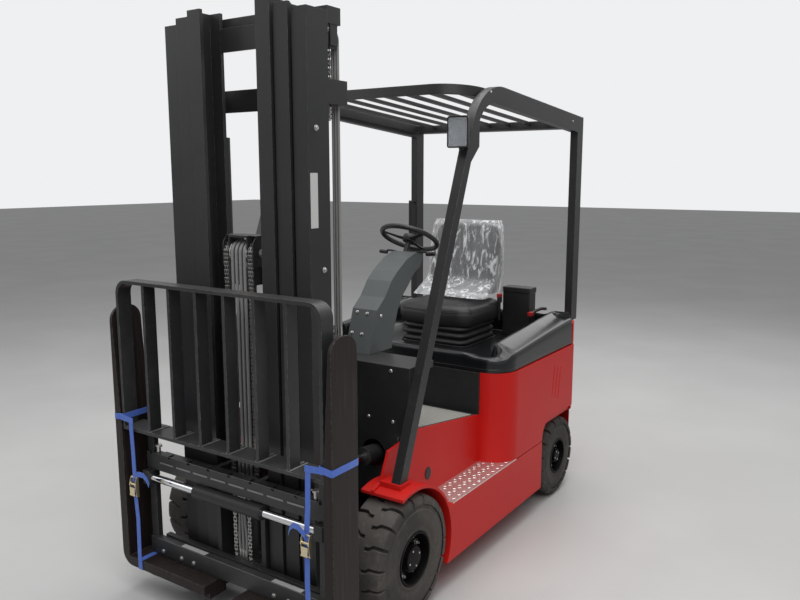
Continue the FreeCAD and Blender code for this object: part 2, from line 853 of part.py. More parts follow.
def counterweight():
    """Casting with wheel arches, the tongue under the hood, the hinge ears and the towing recess."""
    half = body_side - S.counterweight_inset
    front = at(S.cover_rear)
    top = S.counterweight_top
    corner = S.counterweight_corner
    wide = box("WeightWide", (-half, half), (front - corner, rear_y), (S.counterweight_bottom, top))
    wide = rounded("WeightRound", wide, "z", [{0: half, 1: rear_y}, {0: -half, 1: rear_y}], corner)
    keep = box("WeightKeep", (-half, half), (front, rear_y), (S.counterweight_bottom, top))
    tongue_half = half - S.cover_plate - 2
    parts = [
        common("WeightBlock", [wide, keep]),
        box("WeightTongue", (-tongue_half, tongue_half), (rear_wall_y, front + 5),
            (S.arch_height, S.tongue_height)),
        box("WeightKeel", (-130, 130), (rear_axle_y - 160, front + 5),
            (S.arch_height - 100, S.arch_height + 5)),
    ]
    for name, side in SIDES:
        low, high = span(S.hinge_offset - S.hinge_width, S.hinge_offset - 1, side)
        parts.append(box("HingeEar" + name, (low, high), (hinge_y - S.hinge_eye_radius, front + 30),
                         (top, hinge_z + S.hinge_eye_radius)))
        low, high = span(S.hinge_offset - S.hinge_width, S.hinge_offset + S.hinge_width, side)
        parts.append(rod("HingePin" + name, "x", S.hinge_pin_radius, low, high, y=hinge_y, z=hinge_z))
    recess = S.tow_recess_width / 2
    recess_top = S.tow_recess_bottom + S.tow_recess_height
    tools = [
        box("BeamSlot", (-half - 5, half + 5), (rear_axle_y - 105, rear_axle_y + 105),
            (0, S.arch_height - 60)),
        box("TowRecess", (-recess, recess), (rear_y - S.tow_recess_depth, rear_y + 5),
            (S.tow_recess_bottom, recess_top)),
        *swing_cutters("Weight"),
    ]
    for name, side in SIDES:
        low, high = span(kingpin_x, half + 5, side)
        tools.append(box("ArchRoom" + name, (low, high), (rear_axle_y - 320, rear_axle_y + swing_room - 30),
                         (0, S.arch_height)))
    pin_y = rear_y - S.tow_recess_depth / 2
    pin_low = S.tow_recess_bottom - 60
    pin_high = recess_top + 60
    tools.append(rod("TowBore", "z", S.tow_pin_radius, pin_low, pin_high, y=pin_y))
    node("counterweight", cut("Counterweight", fuse("WeightRough", parts), tools))
    node("tow_pin", rod("TowPin", "z", S.tow_pin_radius, pin_low, pin_high, y=pin_y))


def hood():
    """Battery hood with a raised arm on each side of the seat and two hinge eyes at the back."""
    half = body_side - S.hood_inset
    front = at(S.seat_front)
    back = at(S.cover_rear) - S.hood_gap
    plate = box("HoodBlock", (-half, half), (front, back), (hood_low, S.hood_top))
    plate = rounded("HoodRound", plate, "z", [{0: half, 1: front}, {0: -half, 1: front}],
                    S.body_corner - S.hood_inset)
    arm_in = half - S.hood_arm_width
    well = box("HoodWell", (-arm_in, arm_in), (front + 60, back + 5), (hood_floor, S.hood_top + 5))
    arm = prism(
        "HoodArm", "side",
        [
            (front + 45, S.hood_top - 30),
            (front + 100, S.hood_arm_top - 38),
            (front + 150, S.hood_arm_top - 10),
            (front + 215, S.hood_arm_top),
            (back - 60, S.hood_arm_top - 26),
            (back, S.hood_arm_top - 36),
            (back, S.hood_top - 30),
        ],
        arm_in, half - 14,
    )
    parts = [cut("HoodTray", plate, [well]), arm, mirrored("HoodArmRight", arm)]
    bores = []
    for name, side in SIDES:
        low, high = span(S.hinge_offset + 1, S.hinge_offset + S.hinge_width, side)
        parts.append(box("HingeStrap" + name, (low, high), (back - 16, back), (hood_floor - 5, hinge_z)))
        parts.append(rod("HingeEye" + name, "x", S.hinge_eye_radius, low, high, y=hinge_y, z=hinge_z))
        bores.append(rod("HingeBore" + name, "x", S.hinge_pin_radius + S.running_clearance, low - 5,
                         high + 5,
                         y=hinge_y, z=hinge_z))
    node("hood", cut("Hood", fuse("HoodRough", parts), bores))


def seat():
    """Sprung base, cushion and back, as plain soft solids for their size, and the box behind them."""
    half = S.seat_width / 2
    front = at(S.seat_y)
    back = front + S.seat_depth
    node("seat_base", box("SeatBase", (-half + 25, half - 25), (front + 20, back - 20),
                          (hood_floor, S.seat_base_top)))
    cushion_low = S.seat_base_top + S.side_clearance
    cushion_top = cushion_low + S.cushion_height
    cushion = box("CushionBlock", (-half, half), (front, back), (cushion_low, cushion_top))
    node("seat_cushion", rounded("Cushion", cushion, "z", [{0: half, 1: front}, {0: -half, 1: front}], 70))
    back_low = cushion_top + S.side_clearance
    back_high = back_low + S.seat_back_height
    rake = 60
    rest = prism(
        "SeatBack", "side",
        [
            (back - S.seat_back_depth, back_low),
            (back - S.seat_back_depth + rake, back_high),
            (back + rake, back_high),
            (back, back_low),
        ],
        -half, half,
    )
    node("seat_back", rest)
    rear = at(S.cover_rear) - S.hood_gap - 24
    crate = box("ToolBoxBlock", (half - 30, half - 30 + S.tool_box_width), (rear - S.tool_box_depth, rear),
                (hood_floor, hood_floor + S.tool_box_height))
    top = hood_floor + S.tool_box_height
    crate = rounded("ToolBox", crate, "x", [{1: rear - S.tool_box_depth, 2: top}, {1: rear, 2: top}], 18)
    node("tool_box", crate)


def front_plate():
    """Black plate between the pillars, with holes for the tilt cylinders, and the dash shelf."""
    half = guard_half - S.guard_post_width
    waist = S.front_plate_waist / 2
    middle = riser_inner - S.side_clearance
    shoulder = fender_radius + front_axle_z + 5
    neck = toe_height + 5
    start = at(S.front_plate_y)
    sheet = prism(
        "FrontSheet", "front",
        [
            (-waist, S.front_plate_bottom),
            (waist, S.front_plate_bottom),
            (waist, shoulder),
            (middle, shoulder),
            (middle, neck),
            (half, neck),
            (half, S.dash_height),
            (-half, S.dash_height),
            (-half, neck),
            (-middle, neck),
            (-middle, shoulder),
            (-waist, shoulder),
        ],
        start, plate_back,
    )
    shelf = box("DashShelf", (-half, half), (start, start + S.dash_depth),
                (S.dash_height - S.dash_thickness, S.dash_height))
    holes = [
        rod("TiltHole" + name, "y", S.tilt_hole_radius, start - 5, plate_back + 5, x=S.tilt_offset * side,
            z=(S.tilt_rod_height + S.tilt_base_height) / 2 + 6)
        for name, side in SIDES
    ]
    node("front_plate", cut("FrontPlate", fuse("FrontRough", [sheet, shelf]), holes))


def on_column(name, piece):
    """Carries a piece made about the origin, axis up, onto the steering column."""
    return leaned(name, piece, Vector(1, 0, 0), -S.steering_wheel_tilt, S.cowl_offset,
                  at(S.steering_wheel_y),
                  S.steering_wheel_height)


def cowl():
    """Steering column housing that leans from the dash up to the steering wheel."""
    low = S.dash_height
    front = at(S.cowl_front)
    neck_y = at(S.steering_wheel_y)
    neck_z = S.steering_wheel_height
    body = prism(
        "CowlBody", "side",
        [
            (front, low),
            (front + 61, low + 193),
            (front + 122, low + 244),
            (front + 176, low + 313),
            (front + 223, low + 352),
            (neck_y - 156, neck_z - 88),
            (neck_y - 69, neck_z - 60),
            (neck_y - 10, neck_z - 80),
            (neck_y - 40, neck_z - 135),
            (neck_y - 90, neck_z - 158),
            (front + 312, low + 274),
            (front + 263, low + 230),
            (front + 231, low + 180),
            (front + 179, low + 38),
            (front + 179, low),
        ],
        S.cowl_offset + S.cowl_shift - S.cowl_width / 2, S.cowl_offset + S.cowl_shift + S.cowl_width / 2,
    )
    bore = on_column("ColumnBore", rod("ColumnBoreRod", "z", S.column_radius + S.running_clearance, -120,
                                       -30))
    node("cowl", cut("Cowl", body, [bore]))


def steering_wheel():
    """Rim, three spokes, boss and column on the column's own axis."""
    middle = S.steering_wheel_radius - S.steering_wheel_rim
    thick, flat = S.steering_wheel_rim, S.steering_wheel_rim * 0.42
    corners = ((thick, -flat), (thick, flat), (flat, thick), (-flat, thick),
               (-thick, flat), (-thick, -flat), (-flat, -thick), (flat, -thick))
    ring = spun("WheelRing", [(middle + across, up) for across, up in corners])
    parts = [ring, rod("WheelBoss", "z", 34, -22, 16), rod("Column", "z", S.column_radius, -118, -10)]
    for number, angle in enumerate((90, 210, 330)):
        spoke = box(f"Spoke{number}", (20, middle), (-12, 12), (-10, 2))
        parts.append(leaned(f"SpokeTurned{number}", spoke, Vector(0, 0, 1), angle, 0, 0, 0))
    node("steering_wheel", on_column("SteeringWheelPlaced", fuse("SteeringWheel", parts)))


def controls():
    """Four hydraulic levers on their box right of the column, and the two pedals."""
    y = at(S.cowl_front) + 30
    low = S.dash_height
    count = 4
    first = S.cowl_offset - S.cowl_width / 2 - 118
    base = box("LeverBase", (first - S.lever_pitch * (count - 1) - 25, first + 25), (y - 28, y + 28),
               (low, low + 26))
    parts = [base]
    for number in range(count):
        x = first - S.lever_pitch * number
        parts.append(rod(f"Lever{number}", "z", S.lever_radius, low + 20, low + S.lever_length, x=x, y=y))
        knob = spun(f"LeverKnob{number}", [
            (0, -S.lever_knob), (S.lever_knob * 0.7, -S.lever_knob), (S.lever_knob, -S.lever_knob * 0.3),
            (S.lever_knob, S.lever_knob * 0.3), (S.lever_knob * 0.6, S.lever_knob), (0, S.lever_knob),
        ])
        parts.append(place(knob, x, y, low + S.lever_length))
    pedals = []
    # Columns: name, centre along X, distance behind the axle
    for name, x, behind in (("Brake", 40, 350), ("Drive", -130, 370)):
        foot = floor_at(behind)
        pedals.append(prism(
            "Pedal" + name, "side",
            [
                (at(behind), foot),
                (at(behind) - 42, foot + S.pedal_height),
                (at(behind) - 27, foot + S.pedal_height + 5),
                (at(behind) + 16, floor_at(behind + 16)),
            ],
            x - S.pedal_width / 2, x + S.pedal_width / 2,
        ))
    node("levers", fuse("Levers", parts))
    node("pedals", group("Pedals", pedals))


def lamp(name, side):
    """Work lamp in front of the pillar, held by a bracket on it."""
    x = guard_half - S.guard_post_width / 2
    y = pillar_front(S.lamp_bottom + S.lamp_height / 2) - 30
    low, high = span(x - S.lamp_width / 2, x + S.lamp_width / 2, side)
    return box("Lamp" + name, (low, high), (y - S.lamp_depth, y),
               (S.lamp_bottom, S.lamp_bottom + S.lamp_height))




def pillar_front(z):
    """Place along Y of the leaning pillar's front face at a height."""
    foot_y, head_y = at(S.guard_front_foot), at(S.guard_front_head)
    rise = S.guard_front_top - S.guard_foot_height
    return foot_y + (head_y - foot_y) * (Dim.of(z) - S.guard_foot_height) / rise


roof_drop = S.guard_front_top - S.guard_rear_top
roof_run = S.guard_rear_y + S.guard_rear_depth / 2 - S.guard_front_head
roof_fall = Dim(f"0 - atan2({roof_drop.text}; {roof_run.text}) / 1 deg",
                -math.degrees(math.atan2(roof_drop.value, roof_run.value)))


def roof_panel(half, length):
    """Roof about its own front edge: band bent round the front corners, and bars that run back."""
    high, plate = S.guard_band_height, S.guard_band_plate
    corner = S.guard_band_corner
    band = box("RoofBandBlock", (-half, half), (0, length), (-high, 0))
    band = rounded("RoofBandRound", band, "z", [{0: half, 1: 0}, {0: -half, 1: 0}], corner)
    well = box("RoofWell", (plate - half, half - plate), (plate, length - S.guard_header_depth),
               (-high - 5, 5))
    well = rounded("RoofWellRound", well, "z", [{0: half - plate, 1: plate}, {0: plate - half, 1: plate}],
                   corner - plate)
    parts = [cut("RoofBand", band, [well])]
    pitch = half * 2 / (S.guard_bar_count + 1)
    for number in range(int(S.guard_bar_count.value)):
        x = pitch * (number + 1) - half
        parts.append(box(f"RoofBar{number}", (x - S.guard_bar_width / 2, x + S.guard_bar_width / 2),
                         (plate * 2, length - 10), (-6 - S.guard_bar_height, -6)))
    return fuse("RoofGrid", parts)


def guard():
    """Overhead guard: leaning pillars bent into the roof rails, roof grid, rear posts and handle."""
    out = guard_half
    inn = out - S.guard_post_width
    foot_y, head_y = at(S.guard_front_foot), at(S.guard_front_head)
    foot_z = S.guard_foot_height
    depth = S.guard_post_depth
    rear = at(S.guard_rear_y)
    rear_half = S.guard_rear_depth / 2
    top, low = S.guard_front_top, S.guard_rear_top
    rail = S.guard_rail_height
    crook = pillar_front(top - rail) + depth
    post = prism(
        "GuardSide", "side",
        [
            (foot_y, foot_z),
            (head_y, top),
            (rear + rear_half, low),
            (rear + rear_half, S.counterweight_top),
            (rear - rear_half, S.counterweight_top),
            (rear - rear_half, low - rail),
            (crook, top - rail),
            (foot_y + depth, foot_z),
        ],
        inn, out,
    )
    post = rounded("GuardShoulder", post, "x", [{1: head_y, 2: top}], S.guard_shoulder)
    post = rounded("GuardCrook", post, "x", [{1: crook, 2: top - rail}], S.guard_shoulder * 0.6)
    plate_y = pillar_front(S.guard_gusset_low + 70) + S.guard_gusset_depth
    gusset = prism(
        "GuardGusset", "side",
        [
            (pillar_front(S.guard_gusset_low) + 20, S.guard_gusset_low),
            (pillar_front(S.guard_gusset_low) + depth - 1, S.guard_gusset_low),
            (plate_y, S.guard_gusset_low + 70),
            (plate_y, S.guard_gusset_high),
            (pillar_front(S.guard_gusset_high) + 25, S.guard_gusset_high),
        ],
        inn, out,
    )
    left = fuse("GuardLeft", [post, gusset])
    parts = [left, mirrored("GuardSideRight", left)]
    length = rear + rear_half - at(S.guard_roof_y) - 10
    parts.append(leaned("RoofPanel", roof_panel(inn + 1, length), Vector(1, 0, 0), roof_fall, 0,
                        at(S.guard_roof_y),
                        S.guard_roof_height))
    lamp_z = S.lamp_bottom + S.lamp_height / 2
    for name, side in SIDES:
        low_x, high_x = span(inn + 8, out - 8, side)
        parts.append(box("LampBracket" + name, (low_x, high_x),
                         (pillar_front(lamp_z) - 30, pillar_front(lamp_z) + 15),
                         (lamp_z - 6, lamp_z + 6)))
    grip_y = rear - rear_half - 45
    for name, height in (("Low", S.handle_bottom), ("High", S.handle_bottom + S.handle_length)):
        parts.append(rod("HandleStub" + name, "y", S.handle_radius - 3, grip_y, rear - rear_half + 5,
                         x=-(inn + out) / 2, z=height))
    parts.append(rod("HandleGrip", "z", S.handle_radius, S.handle_bottom - S.handle_radius,
                     S.handle_bottom + S.handle_length + S.handle_radius, x=-(inn + out) / 2, y=grip_y))
    node("overhead_guard", fuse("OverheadGuard", parts))
    node("work_lamps", group("WorkLamps", [lamp(name, side) for name, side in SIDES]))


def channel(x_web, x_tip, front, bottom, top, name):
    """C section rail standing on end, its flanges pointing from the web to the tip."""
    back = front + S.rail_depth
    inward = 1 if x_tip.value > x_web.value else -1
    web = S.rail_web * inward
    plate = S.rail_flange_plate
    return prism(
        name, "top",
        [
            (x_web, front),
            (x_tip, front),
            (x_tip, front + plate),
            (x_web + web, front + plate),
            (x_web + web, back - plate),
            (x_tip, back - plate),
            (x_tip, back),
            (x_web, back),
        ],
        bottom, top,
    )


def i_rail(x_in, x_out, front, bottom, top, name):
    """I section rail standing on end."""
    back = front + S.rail_depth
    plate = S.rail_flange_plate
    middle = (x_in + x_out) / 2
    web = S.rail_web / 2
    return prism(
        name, "top",
        [
            (x_in, front),
            (x_out, front),
            (x_out, front + plate),
            (middle + web, front + plate),
            (middle + web, back - plate),
            (x_out, back - plate),
            (x_out, back),
            (x_in, back),
            (x_in, back - plate),
            (middle - web, back - plate),
            (middle - web, front + plate),
            (x_in, front + plate),
        ],
        bottom, top,
    )


# Places of the mast's stages, from the outside in
outer_x = S.mast_width / 2
middle_x = outer_x - S.rail_flange - S.rail_gap
inner_x = middle_x - S.rail_flange - S.rail_gap
outer_y = at(-S.mast_front)
middle_y = outer_y - S.stage_offset
inner_y = middle_y - S.stage_offset
outer_back = outer_y + S.rail_depth
inner_back = inner_y + S.rail_depth
tie_y = outer_back + S.tie_setback
lift_x = middle_x - S.lift_barrel_radius
lift_y = outer_back + S.lift_setback
stage_pulley_y = outer_back + S.stage_pulley_setback
stage_pulley_z = S.middle_top - S.head_height - S.stage_pulley_drop
top_tie_low = S.outer_top - 330
anchor_top = top_tie_low + 55
free_y = inner_y + S.rail_depth / 2 + S.free_setback
free_pulley_y = free_y - 10
free_pulley_z = S.head_low + S.free_pulley_height
free_anchor_top = S.free_barrel_top - 135
roller_radius = S.rail_depth / 2 - S.rail_flange_plate - S.side_clearance


def mast_outer():
    """Outer stage: two channels, ties behind the lift cylinders, and the arms down to the axle."""
    rail = channel(outer_x, outer_x - S.rail_flange, outer_y, S.mast_bottom, S.outer_top, "OuterRail")
    arm_in = outer_x - S.trunnion_width
    gusset_in = outer_x - S.tie_gusset
    tie_back = tie_y + S.tie_plate
    left = [
        rail,
        box("TrunnionArm", (arm_in, outer_x), (outer_back - 5, front_axle_y),
            (front_axle_z - 60, front_axle_z + 60)),
        rod("TrunnionRing", "x", S.trunnion_radius, arm_in, outer_x, y=front_axle_y, z=front_axle_z),
        box("TiltLug", (outer_x - 14, outer_x), (outer_back - 5, at(S.tilt_eye_y) + 22),
            (S.tilt_rod_height - 30, S.tilt_rod_height + 30)),
        rod("TiltEyePin", "x", S.tilt_pin_radius, S.tilt_offset - S.tilt_eye_width / 2 - 2, outer_x,
            y=at(S.tilt_eye_y), z=S.tilt_rod_height),
        box("LiftFoot", (lift_x - S.lift_barrel_radius, outer_x), (outer_back + 9, tie_y),
            (S.mast_bottom + 108, S.mast_bottom + 120)),
    ]
    # Columns: name, height of the tie's lower edge, where the tie ends
    ties = (
        ("Low", S.mast_bottom + 60, arm_in),
        ("Mid", S.mast_bottom + 760, gusset_in),
        ("Top", top_tie_low, gusset_in),
    )
    for name, low, _ in ties:
        left.append(box("TieGusset" + name, (gusset_in, outer_x), (outer_back - 5, tie_back),
                        (low, low + S.tie_height)))
    bore = rod("TrunnionBore", "x", S.axle_tube_radius + S.running_clearance, arm_in - 5, outer_x + 5,
               y=front_axle_y, z=front_axle_z)
    half = cut("OuterLeft", fuse("OuterRough", left), [bore])
    node("mast_outer", pair("MastOuter", half))
    cross = [
        box("OuterTie" + name, (-end, end), (tie_y, tie_back), (low, low + S.tie_height))
        for name, low, end in ties
    ]
    half_chain = S.stage_chain_width / 2
    for name, side in SIDES:
        low_x, high_x = span(S.stage_chain_offset - half_chain, S.stage_chain_offset + half_chain - 2, side)
        cross.append(box("ChainAnchor" + name, (low_x, high_x),
                         (stage_pulley_y + S.stage_run_radius - S.chain_thickness,
                          tie_y - S.side_clearance),
                         (top_tie_low + 5, anchor_top)))
    node("outer_ties", group("OuterTies", cross))
    barrel = rod("LiftBarrelBody", "z", S.lift_barrel_radius, S.mast_bottom + S.lift_foot,
                 S.lift_barrel_top, x=lift_x, y=lift_y)
    hole = rod("LiftBarrelBore", "z", S.lift_rod_radius + S.running_clearance,
               S.mast_bottom + S.lift_foot + 60, S.lift_barrel_top + 5,
               x=lift_x, y=lift_y)
    node("lift_barrels", pair("LiftBarrels", cut("LiftBarrel", barrel, [hole])))


def mast_middle():
    """Middle stage: I section rails, ties, and the head that the lift rods push."""
    head_low = S.middle_top - S.head_height
    rail = i_rail(middle_x - S.rail_flange, middle_x, middle_y, S.mast_bottom + 20, S.middle_top,
                  "MiddleRail")
    hoses_out = S.stage_hose_offset + S.stage_hose_pitch + S.stage_hose_radius
    chain_in = S.stage_chain_offset - S.stage_chain_width / 2
    roller = rod("MiddleRoller", "x", roller_radius, middle_x - S.rail_flange / 2, outer_x - S.rail_web - 2,
                 y=outer_y + S.rail_depth / 2, z=S.mast_bottom + 80)
    node("mast_middle", pair("MastMiddle", fuse("MiddleLeft", [rail, roller])))
    middle_back = middle_y + S.rail_depth
    left = [
        box("HeadLug", (middle_x - S.rail_flange, outer_x - 8), (outer_back + 7, lift_y + 34),
            (head_low, S.middle_top)),
        rod("PulleyPin", "x", S.pulley_pin_radius, chain_in - 7, hoses_out + 8, y=stage_pulley_y,
            z=stage_pulley_z),
    ]
    # Columns: name, inner face, outer face
    for name, low_x, high_x in (("In", chain_in - 7, chain_in - 1), ("Out", hoses_out + 2, hoses_out + 8)):
        left.append(box("PulleyHanger" + name, (low_x, high_x), (stage_pulley_y - 20, stage_pulley_y + 20),
                        (stage_pulley_z - 22, head_low + 5)))
    half = fuse("HeadLeft", left)
    beam = box("MiddleHead", (-middle_x, middle_x), (middle_back, outer_back + 13),
               (head_low, S.middle_top))
    cross = [fuse("MastHead", [beam, half, mirrored("HeadRight", half)])]
    for name, low in (("Low", S.mast_bottom + S.middle_tie_low), ("Mid", S.mast_bottom + S.middle_tie_mid)):
        cross.append(box("MiddleTie" + name, (-middle_x, middle_x),
                         (middle_back, middle_back + S.tie_plate),
                         (low, low + S.tie_height)))
    node("middle_ties", group("MiddleTies", cross))
    node("lift_rods", pair("LiftRods", rod("LiftRod", "z", S.lift_rod_radius,
                                           S.mast_bottom + S.lift_foot + 80, head_low,
                                           x=lift_x, y=lift_y)))


def mast_inner():
    """Inner stage, in which the carriage runs, with the free-lift cylinder's barrel on its low tie."""
    rail = channel(inner_x, inner_x - S.rail_flange, inner_y, S.mast_bottom + 40, S.inner_top, "InnerRail")
    roller = rod("InnerRoller", "x", roller_radius, inner_x - 3,
                 middle_x - (S.rail_flange + S.rail_web) / 2 - 2,
                 y=middle_y + S.rail_depth / 2, z=S.mast_bottom + 100)
    node("mast_inner", pair("MastInner", fuse("InnerLeft", [rail, roller])))
    low = S.mast_bottom + 50
    foot = low + S.tie_height
    tie_end = inner_x - S.rail_flange
    lower, upper = [
        box("InnerTie" + name, (-tie_end, tie_end), (inner_back - S.rail_flange_plate, inner_back),
            (z, z + S.tie_height))
        for name, z in (("Low", low), ("Top", S.inner_top - 150))
    ]
    step = box("FreeFoot", (-60, 60), (free_y - S.free_barrel_radius, inner_back), (foot - 14, foot))
    node("inner_ties", group("InnerTies", [fuse("InnerTieFoot", [lower, step]), upper]))
    barrel = rod("FreeBarrelBody", "z", S.free_barrel_radius, foot, S.free_barrel_top, y=free_y)
    reach = S.free_chain_offset + S.chain_width / 2
    collar = box("FreeCollar", (-reach, reach), (free_y + 22, free_y + S.free_barrel_radius + 2),
                 (free_anchor_top - 25, free_anchor_top))
    hole = rod("FreeBarrelBore", "z", S.free_rod_radius + S.running_clearance, S.mast_bottom + 200,
               S.free_barrel_top + 5,
               y=free_y)
    node("free_lift_barrel", cut("FreeBarrel", fuse("FreeBarrelRough", [barrel, collar]), [hole]))


def crosshead():
    """Free-lift rod with its head, which holds the hose pulley between two cheeks."""
    half = S.head_width / 2
    low = S.head_low
    pin_end = S.free_chain_offset + S.chain_width / 2 + 6
    parts = [
        rod("FreeRod", "z", S.free_rod_radius, S.mast_bottom + 230, low + 5, y=free_y),
        box("HeadBlock", (-half, half), (free_y - 32, free_y + 30), (low, low + 66)),
        box("HeadCap", (-half, half), (free_pulley_y - 46, free_pulley_y + 38),
            (low + S.head_rise - 8, low + S.head_rise)),
        rod("FreePulley", "x", S.free_run_radius - S.free_hose_radius - S.side_clearance, -half + 2,
            half - 2, y=free_pulley_y,
            z=free_pulley_z),
        rod("FreePulleyPin", "x", S.pulley_pin_radius, -pin_end, pin_end, y=free_pulley_y, z=free_pulley_z),
    ]
    for name, side in SIDES:
        low_x, high_x = span(half - S.head_cheek, half, side)
        cheek = box("HeadCheekBlock" + name, (low_x, high_x), (free_pulley_y - 46, free_pulley_y + 38),
                    (low, low + S.head_rise))
        parts.append(cheek)
    node("free_lift_crosshead", fuse("FreeCrosshead", parts))


def flat_run(name, x, width, y, z, radius, front_low, rear_low):
    """Chain over its pulley: the pulley, half a turn of chain and the two straight runs."""
    thick = S.chain_thickness
    low_x, high_x = x - width / 2, x + width / 2
    inner = radius - thick / 2
    outer = radius + thick / 2
    ring = rod(name + "Ring", "x", outer, low_x, high_x, y=y, z=z)
    keep = box(name + "Keep", (low_x, high_x), (y - outer - 1, y + outer + 1), (z, z + outer + 1))
    parts = [
        common(name + "Wrap", [ring, keep]),
        rod(name + "Pulley", "x", inner, low_x, high_x, y=y, z=z),
        box(name + "Front", (low_x, high_x), (y - outer, y - inner), (front_low, z)),
        box(name + "Rear", (low_x, high_x), (y + inner, y + outer), (rear_low, z)),
    ]
    bore = rod(name + "Bore", "x", S.pulley_pin_radius + S.running_clearance, low_x - 1, high_x + 1, y=y,
               z=z)
    return cut(name, fuse(name + "Rough", parts), [bore])


def hose_run(name, x, hose, y, z, radius, front_low, rear_low):
    """Hose over its pulley, plain and square: half a ring and two straight runs."""
    low_x, high_x = x - hose, x + hose
    inner, outer = radius - hose, radius + hose
    ring = rod(name + "Ring", "x", outer, low_x, high_x, y=y, z=z)
    core = rod(name + "Core", "x", inner, low_x - 1, high_x + 1, y=y, z=z)
    keep = box(name + "Keep", (low_x, high_x), (y - outer - 1, y + outer + 1), (z, z + outer + 1))
    return fuse(name, [
        common(name + "Bend", [cut(name + "Hoop", ring, [core]), keep]),
        box(name + "Front", (low_x, high_x), (y - outer, y - inner), (front_low, z)),
        box(name + "Rear", (low_x, high_x), (y + inner, y + outer), (rear_low, z)),
    ])


carriage_low = S.lower_bar_bottom + 20
carriage_high = S.upper_bar_top - 10


def chains_and_hoses():
    """Chains and hoses over the pulleys of the middle stage and of the free-lift head."""
    chain = flat_run("StageChain", S.stage_chain_offset, S.stage_chain_width, stage_pulley_y,
                     stage_pulley_z,
                     S.stage_run_radius, S.mast_bottom + 290, anchor_top + S.side_clearance)
    node("stage_chains", pair("StageChains", chain))
    bottom = S.mast_bottom + 1060
    hoses = [
        hose_run(f"StageHose{number}", S.stage_hose_offset + S.stage_hose_pitch * (number - 1),
                 S.stage_hose_radius,
                 stage_pulley_y, stage_pulley_z, S.stage_run_radius, bottom, bottom)
        for number in range(3)
    ]
    low_x = S.stage_hose_offset - S.stage_hose_pitch - S.stage_hose_radius
    high_x = S.stage_hose_offset + S.stage_hose_pitch + S.stage_hose_radius
    drum = rod("StageDrum", "x", S.stage_run_radius - S.stage_hose_radius - S.side_clearance, low_x, high_x,
               y=stage_pulley_y,
               z=stage_pulley_z)
    bore = rod("StageDrumBore", "x", S.pulley_pin_radius + S.running_clearance, low_x - 1, high_x + 1,
               y=stage_pulley_y, z=stage_pulley_z)
    whole = cut("StageHoses", fuse("StageHoseRough", hoses + [drum]), [bore])
    node("stage_hoses", pair("StageHosePair", whole))
    chain = flat_run("FreeChain", S.free_chain_offset, S.chain_width, free_pulley_y, free_pulley_z,
                     S.free_run_radius, carriage_high - 70, free_anchor_top + S.side_clearance)
    node("free_lift_chains", pair("FreeChains", chain))
    hoses = [
        hose_run(f"FreeHose{number}", S.free_hose_pitch * (number - 1.5), S.free_hose_radius, free_pulley_y,
                 free_pulley_z, S.free_run_radius, carriage_high - 30, free_pulley_z - 50)
        for number in range(4)
    ]
    node("free_lift_hoses", group("FreeHoses", hoses))


carriage_y = inner_y - S.carriage_setback
carriage_front = carriage_y - S.carriage_bar_depth
shift_back = carriage_front - 1
shift_front = shift_back - S.bar_depth
shift_axis_y = shift_front - 4


def carriage():
    """Roller plates in the inner stage, cross bars, chain anchors and the saddles of the shift barrel."""
    plate_x = inner_x - S.rail_flange - S.moving_clearance
    plate_in = plate_x - S.carriage_plate
    left = [box("CarriagePlate", (plate_in, plate_x), (carriage_y, inner_back - 30),
                (carriage_low, carriage_high))]
    for number, height in enumerate((S.lower_bar_bottom + 90, S.upper_bar_top - 80)):
        left.append(rod(f"CarriageRoller{number}", "x", roller_radius, plate_x - 5,
                        inner_x - S.rail_web - 6, y=inner_y + S.rail_depth / 2, z=height))
    half_chain = S.chain_width / 2
    chain_front = free_pulley_y - S.free_run_radius - S.chain_thickness / 2
    chain_in = S.free_chain_offset - half_chain
    chain_high = carriage_high - 10
    left.append(box("ChainBlock", (chain_in, S.free_chain_offset + half_chain),
                    (carriage_y, chain_front - S.stage_clearance), (chain_high - 56, chain_high)))
    left.append(box("ChainTie", (chain_in, plate_in + 5), (carriage_y, chain_front - S.stage_clearance - 8),
                    (chain_high - 56, chain_high - 30)))
    node("carriage", pair("Carriage", fuse("CarriageSide", left)))
    half = bar_half - 60
    bars = [
        box("CarriageBar" + name, (-half, half), (carriage_front, carriage_y),
            (low, low + S.bar_height - 10))
        for name, low in (("Low", carriage_low), ("High", carriage_high - S.bar_height + 10))
    ]
    node("carriage_bars", group("CarriageBars", bars))
    barrel_half = S.shift_barrel_length / 2
    saddle = S.shift_barrel_radius
    parts = [rod("ShiftBarrelBody", "x", saddle, -barrel_half, barrel_half, y=shift_axis_y,
                 z=S.shift_height)]
    for name, side in SIDES:
        low_x, high_x = span(plate_in, plate_x, side)
        parts.append(box("ShiftSaddle" + name, (low_x, high_x), (shift_axis_y, carriage_front),
                         (S.shift_height - saddle, S.shift_height + saddle)))
        parts.append(box("ShiftStem" + name, (low_x, high_x), (carriage_front - 5, carriage_y),
                         (S.shift_height - saddle, carriage_high - S.bar_height + 10)))
    bore = rod("ShiftBore", "x", S.shift_rod_radius + S.running_clearance, -barrel_half - 5,
               barrel_half + 5,
               y=shift_axis_y, z=S.shift_height)
    node("shift_barrel", cut("ShiftBarrel", fuse("ShiftBarrelRough", parts), [bore]))


